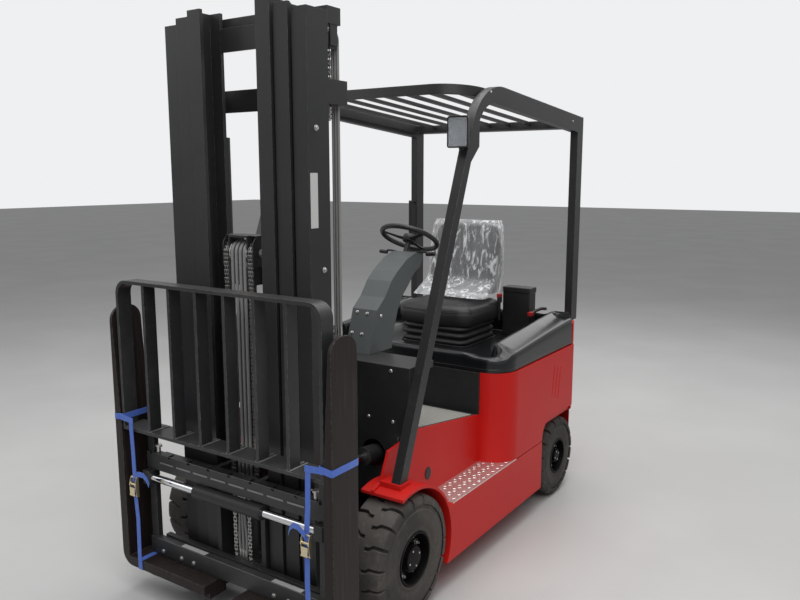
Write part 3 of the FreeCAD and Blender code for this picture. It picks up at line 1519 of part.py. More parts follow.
def fork_frame():
    """Side-shifting frame with the two fork bars, end plates and the lugs that hold the shift rod."""
    half = bar_half
    lugs = half - S.frame_end_plate
    low = box("ForkBarLow", (-half, half), (shift_front, shift_back),
              (S.lower_bar_bottom, S.lower_bar_bottom + S.bar_height))
    high = box("ForkBarHigh", (-half, half), (shift_front, shift_back),
               (S.upper_bar_top - S.bar_height, S.upper_bar_top))
    notches = []
    for number in range(-4, 5):
        x = S.bar_notch_pitch * number
        notches.append(box(f"Notch{number + 4}", (x - S.bar_notch / 2, x + S.bar_notch / 2),
                           (shift_front - 1, shift_back + 1),
                           (S.upper_bar_top - 12, S.upper_bar_top + 1)))
    high = cut("ForkBarNotched", high, notches)
    end = box("ForkFrameEnd", (lugs, half), (shift_front + 8, shift_back),
              (S.lower_bar_bottom + 10, S.backrest_bottom))
    lug = box("ShiftLug", (lugs, half), (shift_axis_y - 22, shift_front + 12),
              (S.shift_height - 30, S.shift_height + 30))
    left = fuse("ForkFrameLeft", [end, lug])
    node("fork_frame", fuse("ForkFrame", [low, high, left, mirrored("ForkFrameRight", left)]))
    node("shift_rod", rod("ShiftRod", "x", S.shift_rod_radius, -lugs, lugs, y=shift_axis_y,
                          z=S.shift_height))


def backrest():
    """Load guard: one flat bar bent round the top, upright bars, and the plate that bolts to the frame."""
    half = backrest_half
    front = blade_y + 6
    back = front + S.backrest_depth
    bar = S.backrest_bar
    low, high = S.backrest_bottom, S.backrest_top
    ring = box("BackrestRing", (-half, half), (front, back), (low, high))
    ring = rounded("BackrestRingRound", ring, "y", [{0: half, 2: high}, {0: -half, 2: high}],
                   S.backrest_corner)
    gap = box("BackrestGap", (-half + bar, half - bar), (front - 5, back + 5), (low - 5, high - bar))
    gap = rounded("BackrestGapRound", gap, "y",
                  [{0: half - bar, 2: high - bar}, {0: -half + bar, 2: high - bar}],
                  S.backrest_corner - bar)
    parts = [cut("BackrestBow", ring, [gap])]
    parts.append(box("BackrestPlate", (-half, half), (front, shift_back), (low, low + bar)))
    inner = half - bar
    pitch = (inner * 2) / (S.backrest_bar_count + 1)
    for number in range(int(S.backrest_bar_count.value)):
        x = -inner + pitch * (number + 1)
        parts.append(box(f"BackrestBar{number}", (x - bar / 2, x + bar / 2), (front + 4, back - 4),
                         (low + 2, high - 2)))
    node("backrest", fuse("Backrest", parts))


fork_low = S.lower_bar_bottom - S.side_clearance * 2 - S.strap_thickness - S.fork_thickness


def fork(side_name, side):
    """Fork stowed upright outside the load guard, its shank lying across under the fork bars."""
    outer = S.fork_outer
    low = fork_low
    high = low + S.fork_length
    thick = S.fork_thickness
    shank_end = outer - S.fork_shank
    body = prism(
        "ForkBody" + side_name, "front",
        [
            (shank_end, low),
            (outer, low),
            (outer, high),
            (outer - S.fork_tip_thickness, high),
            (outer - thick, high - S.fork_taper),
            (outer - thick, low + thick),
            (shank_end, low + thick),
        ],
        blade_y, blade_y + S.fork_width,
    )
    body = rounded("ForkHeel" + side_name, body, "y", [{0: outer, 2: low}], S.fork_heel)
    blade_back = blade_y + S.fork_width
    tip = box("ForkTipBlock" + side_name, (shank_end - 5, outer + 5), (blade_y, blade_back),
              (low - 5, high))
    tip = rounded("ForkTip" + side_name, tip, "x", [{1: blade_y, 2: high}, {1: blade_back, 2: high}],
                  S.fork_tip_round)
    body = common("ForkBlade" + side_name, [body, tip])
    middle = blade_y + S.fork_width / 2
    half = S.fork_hook_width
    hook_depth = S.fork_hook_depth
    hooks = []
    # Columns: name, inner face, outer face
    for name, inner, end in (
        ("Top", shank_end, shank_end + 44),
        ("Low", outer - 190, outer - 146),
    ):
        hooks.append(box(f"Hook{name}{side_name}", (inner, end), (middle - half, middle + half),
                         (low - hook_depth, low + 5)))
    body = fuse("ForkWhole" + side_name, [body] + hooks)
    if side < 0:
        body = mirrored("ForkMirror" + side_name, body)
    node(f"fork_{side_name}", body)


def strap(name):
    """Left tie-down: a loop round blade and load guard, a web with its ratchet, a loop round the shank."""
    width, thick = S.strap_width, S.strap_thickness
    gap = S.side_clearance
    blade_in = S.fork_outer - S.fork_thickness
    post_in = backrest_half - S.backrest_bar
    blade_back = blade_y + S.fork_width
    web_in = bar_half - S.frame_end_plate + 6
    web_out = web_in + width
    low, high = S.strap_height, S.strap_height + width
    shank_top = fork_low + S.fork_thickness

    def loop(part, x0, x1, y0, y1, z0, z1, axis):
        """Band of the strap's thickness around a block, open along one axis."""
        grow = {"x": (0, thick, thick), "z": (thick, thick, 0)}[axis]
        room = {"x": (5, 0, 0), "z": (0, 0, 5)}[axis]
        band = box(part + "Band", (x0 - grow[0], x1 + grow[0]), (y0 - grow[1], y1 + grow[1]),
                   (z0 - grow[2], z1 + grow[2]))
        hole = box(part + "Hole", (x0 - room[0], x1 + room[0]), (y0 - room[1], y1 + room[1]),
                   (z0 - room[2], z1 + room[2]))
        return cut(part, band, [hole])

    upper = loop(name + "Upper", post_in - gap, S.fork_outer + gap, blade_y - gap, blade_back + gap, low,
                 high, "z")
    lower = loop(name + "Lower", web_in, web_out, blade_y - gap, blade_back + gap, fork_low - gap,
                 shank_top + gap, "x")
    face = blade_y - gap
    web = box(name + "Web", (web_in, web_out), (face - thick, face), (shank_top, high))
    tie = box(name + "Tie", (web_in, post_in), (face - thick, face), (low, high))
    ratchet_low = S.strap_height - 330
    ratchet = box(name + "Ratchet", (web_in - 8, web_out + 8), (face - S.ratchet_depth, face),
                  (ratchet_low, ratchet_low + S.ratchet_height))
    return fuse(name, [upper, lower, web, tie, ratchet])


tilt_rise = S.tilt_rod_height - S.tilt_base_height
tilt_run = S.tilt_base_y - S.tilt_eye_y
tilt_length = root(tilt_rise * tilt_rise + tilt_run * tilt_run)
tilt_lean = Dim(f"atan2({tilt_rise.text}; {tilt_run.text}) / 1 deg",
                math.degrees(math.atan2(tilt_rise.value, tilt_run.value)))


def tilt_cylinders():
    """Barrel on the frame and rod to the mast, on one straight line between their pins."""
    half_eye = S.tilt_eye_width / 2 + 2
    pin_bore = S.tilt_pin_radius + S.running_clearance
    barrel_end = tilt_length - S.tilt_barrel_end
    barrel = fuse("TiltBarrelRough", [
        rod("TiltBarrelTube", "z", S.tilt_barrel_radius, 62, barrel_end),
        rod("TiltBaseEye", "x", S.tilt_eye_radius - 2, -half_eye, half_eye),
        box("TiltBaseNeck", (-half_eye, half_eye), (-22, 22), (0, 70)),
    ])
    barrel = cut("TiltBarrel", barrel, [
        rod("TiltBarrelBore", "z", S.tilt_rod_radius + S.running_clearance, 90, barrel_end + 5),
        rod("TiltBaseBore", "x", pin_bore, -half_eye - 5, half_eye + 5),
    ])
    half_eye = S.tilt_eye_width / 2
    ram = fuse("TiltRodRough", [
        rod("TiltRodBar", "z", S.tilt_rod_radius, 150, tilt_length - 20),
        rod("TiltRodEye", "x", S.tilt_eye_radius, -half_eye, half_eye, z=tilt_length),
    ])
    ram = cut("TiltRod", ram, [
        rod("TiltEyeBore", "x", S.tilt_pin_radius + S.tilt_eye_play, -half_eye - 5, half_eye + 5,
            z=tilt_length),
    ])
    for name, piece in (("tilt_barrels", barrel), ("tilt_rods", ram)):
        placed = leaned(name.title().replace("_", ""), piece, Vector(1, 0, 0), 90 - tilt_lean,
                        S.tilt_offset,
                        at(S.tilt_base_y), S.tilt_base_height)
        node(name, pair(name.title().replace("_", "") + "Pair", placed))


def build():
    wheels()
    drive_axle()
    steer_axle()
    for side_name, side in SIDES:
        knuckle(side_name, side)
    frame()
    battery()
    floor()
    for side_name, side in SIDES:
        side_cover(side_name, side)
    front_cover()
    counterweight()
    hood()
    seat()
    front_plate()
    cowl()
    steering_wheel()
    controls()
    guard()
    mast_outer()
    mast_middle()
    mast_inner()
    crosshead()
    chains_and_hoses()
    carriage()
    fork_frame()
    backrest()
    for side_name, side in SIDES:
        fork(side_name, side)
    node("straps", pair("Straps", strap("Strap")))
    tilt_cylinders()


def check_and_write():
    doc.recompute()
    for obj in doc.Objects:
        if any(word in ("Invalid", "Error") for word in obj.State):
            raise SystemExit(f"{obj.Name} failed: {obj.State}")
    for obj in NODES:
        if obj.Shape.isNull() or not obj.Shape.isValid():
            raise SystemExit(f"{obj.Label} has no valid shape")
    os.makedirs("parts", exist_ok=True)
    whole = None
    for obj in NODES:
        obj.Shape.exportStep(f"parts/{obj.Label}.step")
        limits = obj.Shape.BoundBox
        whole = limits if whole is None else whole.united(limits)
    print("nodes", len(NODES))
    print("size", round(whole.XLength, 2), round(whole.YLength, 2), round(whole.ZLength, 2))
    print("lowest corner", round(whole.XMin, 2), round(whole.YMin, 2), round(whole.ZMin, 2))


build()
check_and_write()
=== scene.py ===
"""Looks of a four-wheel counterbalance forklift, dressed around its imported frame.

Everything is in metres in the frame's own axes: +X is the machine's left side, the forks point to -Y
and +Z is up. Shapes that the frame already has keep them and get a finish; moulded, woven, padded and
treaded pieces are built here and stand for their plain solids.
"""
import logging
import math
from dataclasses import dataclass
from enum import Enum
from typing import Optional, Sequence

import bmesh
import bpy
from mathutils import Matrix, Vector, noise

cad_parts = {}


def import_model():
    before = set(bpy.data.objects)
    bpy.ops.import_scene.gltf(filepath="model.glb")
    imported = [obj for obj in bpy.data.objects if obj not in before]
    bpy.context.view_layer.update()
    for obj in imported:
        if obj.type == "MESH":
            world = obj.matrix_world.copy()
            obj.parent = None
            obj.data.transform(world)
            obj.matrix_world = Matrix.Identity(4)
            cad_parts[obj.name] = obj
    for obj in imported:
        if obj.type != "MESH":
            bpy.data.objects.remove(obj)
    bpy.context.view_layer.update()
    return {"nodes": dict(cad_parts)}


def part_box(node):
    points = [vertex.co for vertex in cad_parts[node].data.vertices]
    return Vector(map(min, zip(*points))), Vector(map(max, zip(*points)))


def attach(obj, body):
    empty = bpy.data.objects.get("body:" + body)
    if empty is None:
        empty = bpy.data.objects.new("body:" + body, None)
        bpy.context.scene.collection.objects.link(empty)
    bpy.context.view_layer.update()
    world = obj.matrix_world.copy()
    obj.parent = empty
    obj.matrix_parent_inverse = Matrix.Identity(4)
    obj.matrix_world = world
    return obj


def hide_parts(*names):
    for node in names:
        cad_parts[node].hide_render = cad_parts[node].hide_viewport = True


LOG = logging.getLogger("forklift")
Point = Sequence[float]
Shader = bpy.types.Material

FRONT_AXLE_Y = -0.678
WHEELBASE = 1.545
REAR_AXLE_Y = FRONT_AXLE_Y + WHEELBASE
REAR_END_Y = REAR_AXLE_Y + 0.355
SIDES = (("left", 1), ("right", -1))
FORWARD = Vector((0, -1, 0))
BOLT_EDGE = 0.0006
STAGE_CHAIN_X = 0.303
FREE_CHAIN_X = 0.066


def behind(distance: float) -> float:
    """Place along Y at a distance behind the front axle."""
    return FRONT_AXLE_Y + distance


def eased(low: float, high: float, value: float) -> float:
    """Smooth step from 0 at low to 1 at high."""
    share = min(max((value - low) / (high - low), 0.0), 1.0)
    return share * share * (3 - 2 * share)


def between(table: Sequence[tuple[float, float]], at: float) -> float:
    """Value read from a short table of rising places, in straight runs between them."""
    if at <= table[0][0]:
        return table[0][1]
    for (x0, y0), (x1, y1) in zip(table, table[1:]):
        if at <= x1:
            return y0 + (y1 - y0) * (at - x0) / (x1 - x0)
    return table[-1][1]


def circle(count: int) -> list[float]:
    """Angles at even steps round a full turn."""
    return [2 * math.pi * step / count for step in range(count)]


def quarter(start: float, steps: int) -> list[tuple[float, float]]:
    """Cosines and sines over a quarter turn, both ends included, from an angle in degrees."""
    angles = [math.radians(start + 90 * step / steps) for step in range(steps + 1)]
    return [(math.cos(angle), math.sin(angle)) for angle in angles]


class Axis(Enum):
    """One of the frame's three directions."""

    X = 0
    Y = 1
    Z = 2

    def vector(self) -> Vector:
        """Unit vector of this direction."""
        return Vector([1.0 if number == self.value else 0.0 for number in range(3)])


@dataclass(frozen=True)
class Finish:
    """One paint, plastic, rubber or metal, with the marks that use leaves on it, and a lighter colour on
    sharp edges for worn paint and a painted highlight.
    """

    name: str
    color: tuple[float, float, float]
    roughness: float
    metallic: float = 0.0
    coat: float = 0.0
    specular: float = 0.5
    dust: float = 0.15
    dust_color: tuple[float, float, float] = (0.30, 0.28, 0.25)
    # Strength and colour of the broken edge mask: worn paint, and a painted highlight along the edges.
    wear_and_highlight: float = 0.0
    wear_and_highlight_color: tuple[float, float, float] = (0.42, 0.41, 0.40)
    soft_edge: float = 0.0015
    grain: float = 0.0
    grain_size: float = 900.0
    streak: float = 0.0


@dataclass(frozen=True)
class Weave:
    """Woven polyester webbing: ribs across the strap."""

    name: str
    color: tuple[float, float, float]
    rib_pitch: float = 0.0022


@dataclass(frozen=True)
class Film:
    """Thin clear plastic film that shows mostly by its highlights."""

    name: str
    cover: float = 0.16
    haze: float = 0.10


class Nodes:
    """Short way to place and link shader nodes in one tree."""

    def __init__(self, tree: bpy.types.NodeTree) -> None:
        self.tree = tree

    def add(self, kind: str, **values: object) -> bpy.types.Node:
        """Adds a node and sets its properties or its sockets by name.

        Args:
            kind: node type without the ShaderNode prefix.
            values: property names, or socket names with underscores for spaces.

        Returns:
            The new node.
        """
        node = self.tree.nodes.new("ShaderNode" + kind)
        self.fill(node, **values)
        return node

    @staticmethod
    def fill(node: bpy.types.Node, **values: object) -> None:
        """Sets a node's properties, or its sockets by name with underscores for spaces."""
        for key, value in values.items():
            if hasattr(node, key):
                setattr(node, key, value)
            else:
                node.inputs[key.replace("_", " ")].default_value = value

    def place(self) -> bpy.types.NodeSocket:
        """Place on the object, in metres."""
        return self.add("TexCoord").outputs["Object"]

    def texture(self, kind: str, place: bpy.types.NodeSocket, **values: object) -> bpy.types.Node:
        """Adds a texture or a mapping that reads a place."""
        node = self.add(kind, **values)
        self.link(place, node.inputs["Vector"])
        return node

    def bump(self, height: bpy.types.NodeSocket, strength: float, distance: float) -> bpy.types.Node:
        """Adds a Bump node that reads a height."""
        node = self.add("Bump", Strength=strength, Distance=distance)
        self.link(height, node.inputs["Height"])
        return node

    def link(self, source: bpy.types.NodeSocket, target: bpy.types.NodeSocket) -> None:
        """Links an output to an input."""
        self.tree.links.new(source, target)

    def math(self, operation: str, first: object, second: object,
             clamp: bool = False) -> bpy.types.NodeSocket:
        """Places a Math node.

        Args:
            operation: its operation.
            first: socket or number.
            second: socket or number.
            clamp: keeps the result between 0 and 1.

        Returns:
            The node's output.
        """
        node = self.add("Math", operation=operation, use_clamp=clamp)
        for number, value in enumerate((first, second)):
            if isinstance(value, (int, float)):
                node.inputs[number].default_value = value
            else:
                self.link(value, node.inputs[number])
        return node.outputs[0]

    def mix(self, share: object, first: object, second: object) -> bpy.types.NodeSocket:
        """Mixes two colours, each a socket or a colour, by a share from 0 to 1."""
        node = self.add("Mix", data_type="RGBA")
        for socket, value in ((node.inputs[0], share), (node.inputs[6], first), (node.inputs[7], second)):
            if isinstance(value, bpy.types.NodeSocket):
                self.link(value, socket)
            elif isinstance(value, (int, float)):
                socket.default_value = value
            else:
                socket.default_value = (*value, 1.0)
        return node.outputs[2]

    def ramp(self, source: bpy.types.NodeSocket, low: float, high: float) -> bpy.types.NodeSocket:
        """Stretches a value so that low reads 0 and high reads 1."""
        node = self.add("MapRange", interpolation_type="SMOOTHSTEP")
        self.link(source, node.inputs[0])
        node.inputs[1].default_value = low
        node.inputs[2].default_value = high
        return node.outputs[0]


class Effects:
    """Shader node groups that several finishes share."""

    def __init__(self) -> None:
        self.dust = self._dust()
        self.edge = self._edge()
        self.grain = self._grain()

    @staticmethod
    def _group(name: str, inputs: Sequence[tuple[str, str]],
               outputs: Sequence[tuple[str, str]]) -> tuple[Nodes, bpy.types.Node, bpy.types.Node]:
        """Makes an empty group with its sockets.

        Args:
            name: the group's name.
            inputs: socket names and kinds.
            outputs: socket names and kinds.

        Returns:
            The group's nodes, with its input node and its output node.
        """
        group = bpy.data.node_groups.new(name, "ShaderNodeTree")
        for direction, sockets in (("INPUT", inputs), ("OUTPUT", outputs)):
            for label, kind in sockets:
                group.interface.new_socket(label, in_out=direction, socket_type="NodeSocket" + kind)
        return Nodes(group), group.nodes.new("NodeGroupInput"), group.nodes.new("NodeGroupOutput")

    def _dust(self) -> bpy.types.NodeTree:
        """Uneven dust and handling marks: colour and roughness vary over the surface."""
        nodes, inside, out = self._group(
            "Dust",
            (("Color", "Color"), ("Dust Color", "Color"), ("Amount", "Float"), ("Roughness", "Float"),
             ("Streak", "Float")),
            (("Color", "Color"), ("Roughness", "Float")),
        )
        place = nodes.place()
        broad = nodes.texture("TexNoise", place, Scale=2.3, Detail=6.0, Roughness=0.62)
        fine = nodes.texture("TexNoise", place, Scale=38.0, Detail=5.0, Roughness=0.7)
        stretch = nodes.texture("Mapping", place, Scale=(26.0, 26.0, 1.4))
        run = nodes.texture("TexNoise", stretch.outputs[0], Scale=3.0, Detail=3.0)
        patches = nodes.ramp(broad.outputs[0], 0.42, 0.72)
        specks = nodes.ramp(fine.outputs[0], 0.50, 0.78)
        runs = nodes.math("MULTIPLY", nodes.ramp(run.outputs[0], 0.52, 0.75), inside.outputs["Streak"])
        facing = nodes.add("SeparateXYZ")
        nodes.link(nodes.add("NewGeometry").outputs["Normal"], facing.inputs[0])
        upward = nodes.ramp(facing.outputs["Z"], 0.2, 1.0)
        share = nodes.math("ADD", nodes.math("MULTIPLY", patches, 0.45),
                           nodes.math("MULTIPLY", specks, 0.35))
        share = nodes.math("ADD", share, nodes.math("MULTIPLY", upward, 0.35))
        share = nodes.math("ADD", nodes.math("MULTIPLY", share, inside.outputs["Amount"]), runs, True)
        color = nodes.mix(share, inside.outputs["Color"], inside.outputs["Dust Color"])
        nodes.link(color, out.inputs["Color"])
        rough = nodes.math("ADD", inside.outputs["Roughness"], nodes.math("MULTIPLY", share, 0.5))
        rough = nodes.math("ADD", rough, nodes.math("MULTIPLY",
                                                    nodes.math("SUBTRACT", fine.outputs[0], 0.5), 0.10),
                                                    True)
        nodes.link(rough, out.inputs["Roughness"])
        return nodes.tree

    def _edge(self) -> bpy.types.NodeTree:
        """Softened normal at sharp edges, and a broken mask along them for worn paint and a painted edge
        highlight.
        """
        nodes, inside, out = self._group("SoftEdge", (("Radius", "Float"), ("Wear", "Float")),
                                         (("Normal", "Vector"), ("Mask", "Float")))
        bevel = nodes.add("Bevel", samples=4)
        nodes.link(inside.outputs["Radius"], bevel.inputs["Radius"])
        flat = nodes.add("NewGeometry").outputs["Normal"]
        turn = nodes.add("VectorMath", operation="DOT_PRODUCT")
        nodes.link(bevel.outputs[0], turn.inputs[0])
        nodes.link(flat, turn.inputs[1])
        bend = nodes.math("SUBTRACT", 1.0, turn.outputs["Value"])
        chips = nodes.texture("TexNoise", nodes.place(), Scale=60.0, Detail=4.0)
        mask = nodes.math("MULTIPLY", nodes.ramp(bend, 0.02, 0.16),
                          nodes.ramp(chips.outputs[0], 0.40, 0.62))
        nodes.link(bevel.outputs[0], out.inputs["Normal"])
        nodes.link(nodes.math("MULTIPLY", mask, inside.outputs["Wear"], True), out.inputs["Mask"])
        return nodes.tree

    def _grain(self) -> bpy.types.NodeTree:
        """Fine pebbled or orange-peel height for paint, cast iron and moulded plastic."""
        nodes, inside, out = self._group("Grain", (("Size", "Float"),), (("Height", "Float"),))
        place = nodes.place()
        fine = nodes.texture("TexNoise", place, Detail=2.0)
        cells = nodes.texture("TexVoronoi", place)
        for node in (fine, cells):
            nodes.link(inside.outputs["Size"], node.inputs["Scale"])
        nodes.link(nodes.math("ADD", fine.outputs[0], cells.outputs["Distance"]), out.inputs["Height"])
        return nodes.tree


class Palette:
    """All the materials of the machine, made on first use."""

    finishes: dict[str, Finish] = {
        f.name: f
        for f in (
            # Brighter red on its edges: a painted highlight along the edges.
            Finish("RedPaint", (0.620, 0.012, 0.009), 0.44, coat=0.08, dust=0.02, grain=0.01,
                   grain_size=420,
                   wear_and_highlight=0.35, wear_and_highlight_color=(0.85, 0.14, 0.11), soft_edge=0.003, specular=0.22),
            Finish("CastRed", (0.600, 0.012, 0.009), 0.46, coat=0.08, dust=0.04, grain=0.05, grain_size=160,
                   soft_edge=0.006, specular=0.22),
            Finish("MastPaint", (0.017, 0.018, 0.018), 0.46, dust=0.06, wear_and_highlight=0.5, grain=0.03,
                   grain_size=500),
            Finish("ForkPaint", (0.014, 0.008, 0.007), 0.50, dust=0.05, wear_and_highlight=0.4, grain=0.06,
                   grain_size=240,
                   streak=0.06, soft_edge=0.003, specular=0.35),
            # Strong light grey along its edges: worn paint and a painted edge highlight.
            Finish("RackPaint", (0.026, 0.027, 0.028), 0.38, dust=0.16, wear_and_highlight=0.9, grain=0.03,
                   grain_size=500,
                   soft_edge=0.002),
            Finish("GuardPaint", (0.018, 0.018, 0.019), 0.36, dust=0.08, wear_and_highlight=0.3, grain=0.02,
                   soft_edge=0.004),
            Finish("PlatePaint", (0.016, 0.017, 0.018), 0.38, dust=0.10, wear_and_highlight=0.3, grain=0.03,
                   soft_edge=0.002),
            Finish("AxleIron", (0.028, 0.028, 0.030), 0.62, dust=0.35, grain=0.12, grain_size=180,
                   soft_edge=0.003),
            Finish("RimPaint", (0.003, 0.003, 0.003), 0.50, dust=0.01, soft_edge=0.001, specular=0.15),
            Finish("TyreRubber", (0.050, 0.046, 0.042), 0.78, dust=0.60, dust_color=(0.28, 0.25, 0.23),
                   grain=0.10,
                   grain_size=300, specular=0.3),
            Finish("CowlPlastic", (0.085, 0.098, 0.098), 0.50, dust=0.08, grain=0.10, grain_size=1100,
                   soft_edge=0.004),
            Finish("HoodPlastic", (0.006, 0.007, 0.008), 0.24, coat=0.20, dust=0.02),
            Finish("BlackPlastic", (0.012, 0.012, 0.013), 0.42, dust=0.07, grain=0.08, grain_size=1200),
            Finish("Vinyl", (0.018, 0.018, 0.019), 0.40, dust=0.06, grain=0.08, grain_size=850),
            Finish("Bellows", (0.012, 0.012, 0.012), 0.55, dust=0.12, grain=0.08, grain_size=600),
            Finish("FloorMat", (0.34, 0.33, 0.30), 0.60, dust=0.35, dust_color=(0.50, 0.48, 0.44),
                   grain=0.06),
            # Near-black floor plate between the mat's ribs: painted shade in the grooves.
            Finish("MatGrooveShade", (0.030, 0.030, 0.029), 0.70, dust=0.10, grain=0.08),
            Finish("StepAlloy", (0.80, 0.79, 0.76), 0.34, metallic=0.85, dust=0.12, grain=0.02,
                   soft_edge=0.0008),
            Finish("Chrome", (0.78, 0.78, 0.80), 0.10, metallic=1.0, dust=0.03, soft_edge=0.0008),
            Finish("ZincBolt", (0.62, 0.61, 0.58), 0.30, metallic=0.95, dust=0.10, soft_edge=0.0006),
            Finish("Brass", (0.82, 0.70, 0.46), 0.30, metallic=0.9, dust=0.08, soft_edge=0.0006),
            Finish("ChainSteel", (0.36, 0.35, 0.33), 0.32, metallic=0.9, dust=0.08, soft_edge=0.0005),
            Finish("HoseGrey", (0.26, 0.26, 0.255), 0.46, dust=0.15, grain=0.05, grain_size=1500),
            Finish("HoseBlack", (0.016, 0.016, 0.016), 0.45, dust=0.15),
            Finish("BareLabel", (0.62, 0.62, 0.60), 0.45, dust=0.15),
            # Grey metal of the weld beads, also used for the painted highlight strips along the fork bars'
            # edges.
            Finish("WeldMetalAndEdgeHighlight", (0.30, 0.30, 0.30), 0.42, metallic=0.6, dust=0.10),
            Finish("RedPlastic", (0.42, 0.015, 0.015), 0.38, dust=0.08),
            Finish("BatteryCase", (0.030, 0.030, 0.032), 0.55, dust=0.3),
            Finish("Reflector", (0.74, 0.75, 0.77), 0.18, metallic=0.9, dust=0.05),
        )
    }

    def __init__(self) -> None:
        self.effects = Effects()
        self.made: dict[str, Shader] = {}

    def get(self, name: str) -> Shader:
        """Material of that finish, made once."""
        if name not in self.made:
            self.made[name] = self._painted(self.finishes[name])
        return self.made[name]

    def _blank(self, name: str) -> tuple[Shader, Nodes, bpy.types.Node]:
        """Starts a material.

        Args:
            name: its name.

        Returns:
            The material, its nodes and its Principled shader.
        """
        material = bpy.data.materials.new(name)
        material.use_nodes = True
        nodes = Nodes(material.node_tree)
        return material, nodes, material.node_tree.nodes["Principled BSDF"]

    def _painted(self, finish: Finish) -> Shader:
        """Builds the material of a plain finish from the shared effects."""
        material, nodes, shader = self._blank(finish.name)
        dust = nodes.add("Group", node_tree=self.effects.dust, Dust_Color=(*finish.dust_color, 1),
                         Amount=finish.dust, Roughness=finish.roughness, Streak=finish.streak)
        edge = nodes.add("Group", node_tree=self.effects.edge, Radius=finish.soft_edge, Wear=finish.wear_and_highlight)
        # Sharp edges take the edge colour: worn paint and a painted highlight along the edges.
        nodes.link(nodes.mix(edge.outputs["Mask"], finish.color, finish.wear_and_highlight_color), dust.inputs["Color"])
        nodes.link(dust.outputs["Color"], shader.inputs["Base Color"])
        nodes.link(dust.outputs["Roughness"], shader.inputs["Roughness"])
        nodes.fill(shader, Metallic=finish.metallic, Coat_Weight=finish.coat, Coat_Roughness=0.12,
                   Specular_IOR_Level=finish.specular)
        normal = edge.outputs["Normal"]
        if finish.grain:
            grain = nodes.add("Group", node_tree=self.effects.grain, Size=finish.grain_size)
            bump = nodes.bump(grain.outputs["Height"], finish.grain, 0.002)
            nodes.link(normal, bump.inputs["Normal"])
            normal = bump.outputs[0]
        nodes.link(normal, shader.inputs["Normal"])
        return material

    def webbing(self, weave: Weave) -> Shader:
        """Blue strap with fine ribs along its length."""
        material, nodes, shader = self._blank(weave.name)
        place = nodes.place()
        ribs = nodes.texture("TexWave", place, wave_type="BANDS", bands_direction="DIAGONAL",
                             Scale=1 / weave.rib_pitch / 6.28, Distortion=0.6)
        spots = nodes.texture("TexNoise", place, Scale=60.0, Detail=4.0)
        dark = tuple(c * 0.55 for c in weave.color)
        color = nodes.mix(nodes.ramp(ribs.outputs["Fac"], 0.1, 0.8), dark, weave.color)
        color = nodes.mix(nodes.ramp(spots.outputs[0], 0.5, 0.9), color, (0.16, 0.27, 0.62))
        nodes.link(color, shader.inputs["Base Color"])
        nodes.fill(shader, Roughness=0.75, Sheen_Weight=0.3)
        nodes.link(nodes.bump(ribs.outputs["Fac"], 0.35, 0.0006).outputs[0], shader.inputs["Normal"])
        return material

    def film(self, film: Film) -> Shader:
        """Clear film: see-through, with glossy creases, and opaque white at creases and grazing angles as
        painted highlights.
        """
        material, nodes, shader = self._blank(film.name)
        drawn = nodes.texture("Mapping", nodes.place(), Scale=(1.0, 1.0, 0.28))
        creases = nodes.texture("TexNoise", drawn.outputs[0], Scale=34.0, Detail=6.0, Roughness=0.62,
                                Distortion=0.9)
        bump = nodes.bump(creases.outputs[0], 0.9, 0.006)
        nodes.link(bump.outputs[0], shader.inputs["Normal"])
        nodes.fill(shader, Base_Color=(0.90, 0.92, 0.93, 1), Roughness=film.haze, Specular_IOR_Level=0.9)
        # The film turns opaque white towards grazing angles and along the creases: painted reflection and
        # painted highlights.
        facing = nodes.add("LayerWeight", Blend=0.35)
        nodes.link(bump.outputs[0], facing.inputs["Normal"])
        folds = nodes.math("MULTIPLY", nodes.ramp(creases.outputs[0], 0.50, 0.64), 0.65)
        share = nodes.math("ADD", nodes.math("MULTIPLY", facing.outputs["Facing"], 0.55), folds)
        share = nodes.math("ADD", share, film.cover, True)
        nodes.link(share, shader.inputs["Alpha"])
        return material

    def lens(self) -> Shader:
        """Moulded clear lamp lens."""
        material, nodes, shader = self._blank("LampLens")
        flutes = nodes.texture("TexVoronoi", nodes.place(), Scale=110.0)
        nodes.link(nodes.bump(flutes.outputs["Distance"], 0.5, 0.002).outputs[0], shader.inputs["Normal"])
        nodes.fill(shader, Base_Color=(0.80, 0.82, 0.84, 1), Roughness=0.08, Transmission_Weight=0.85)
        return material


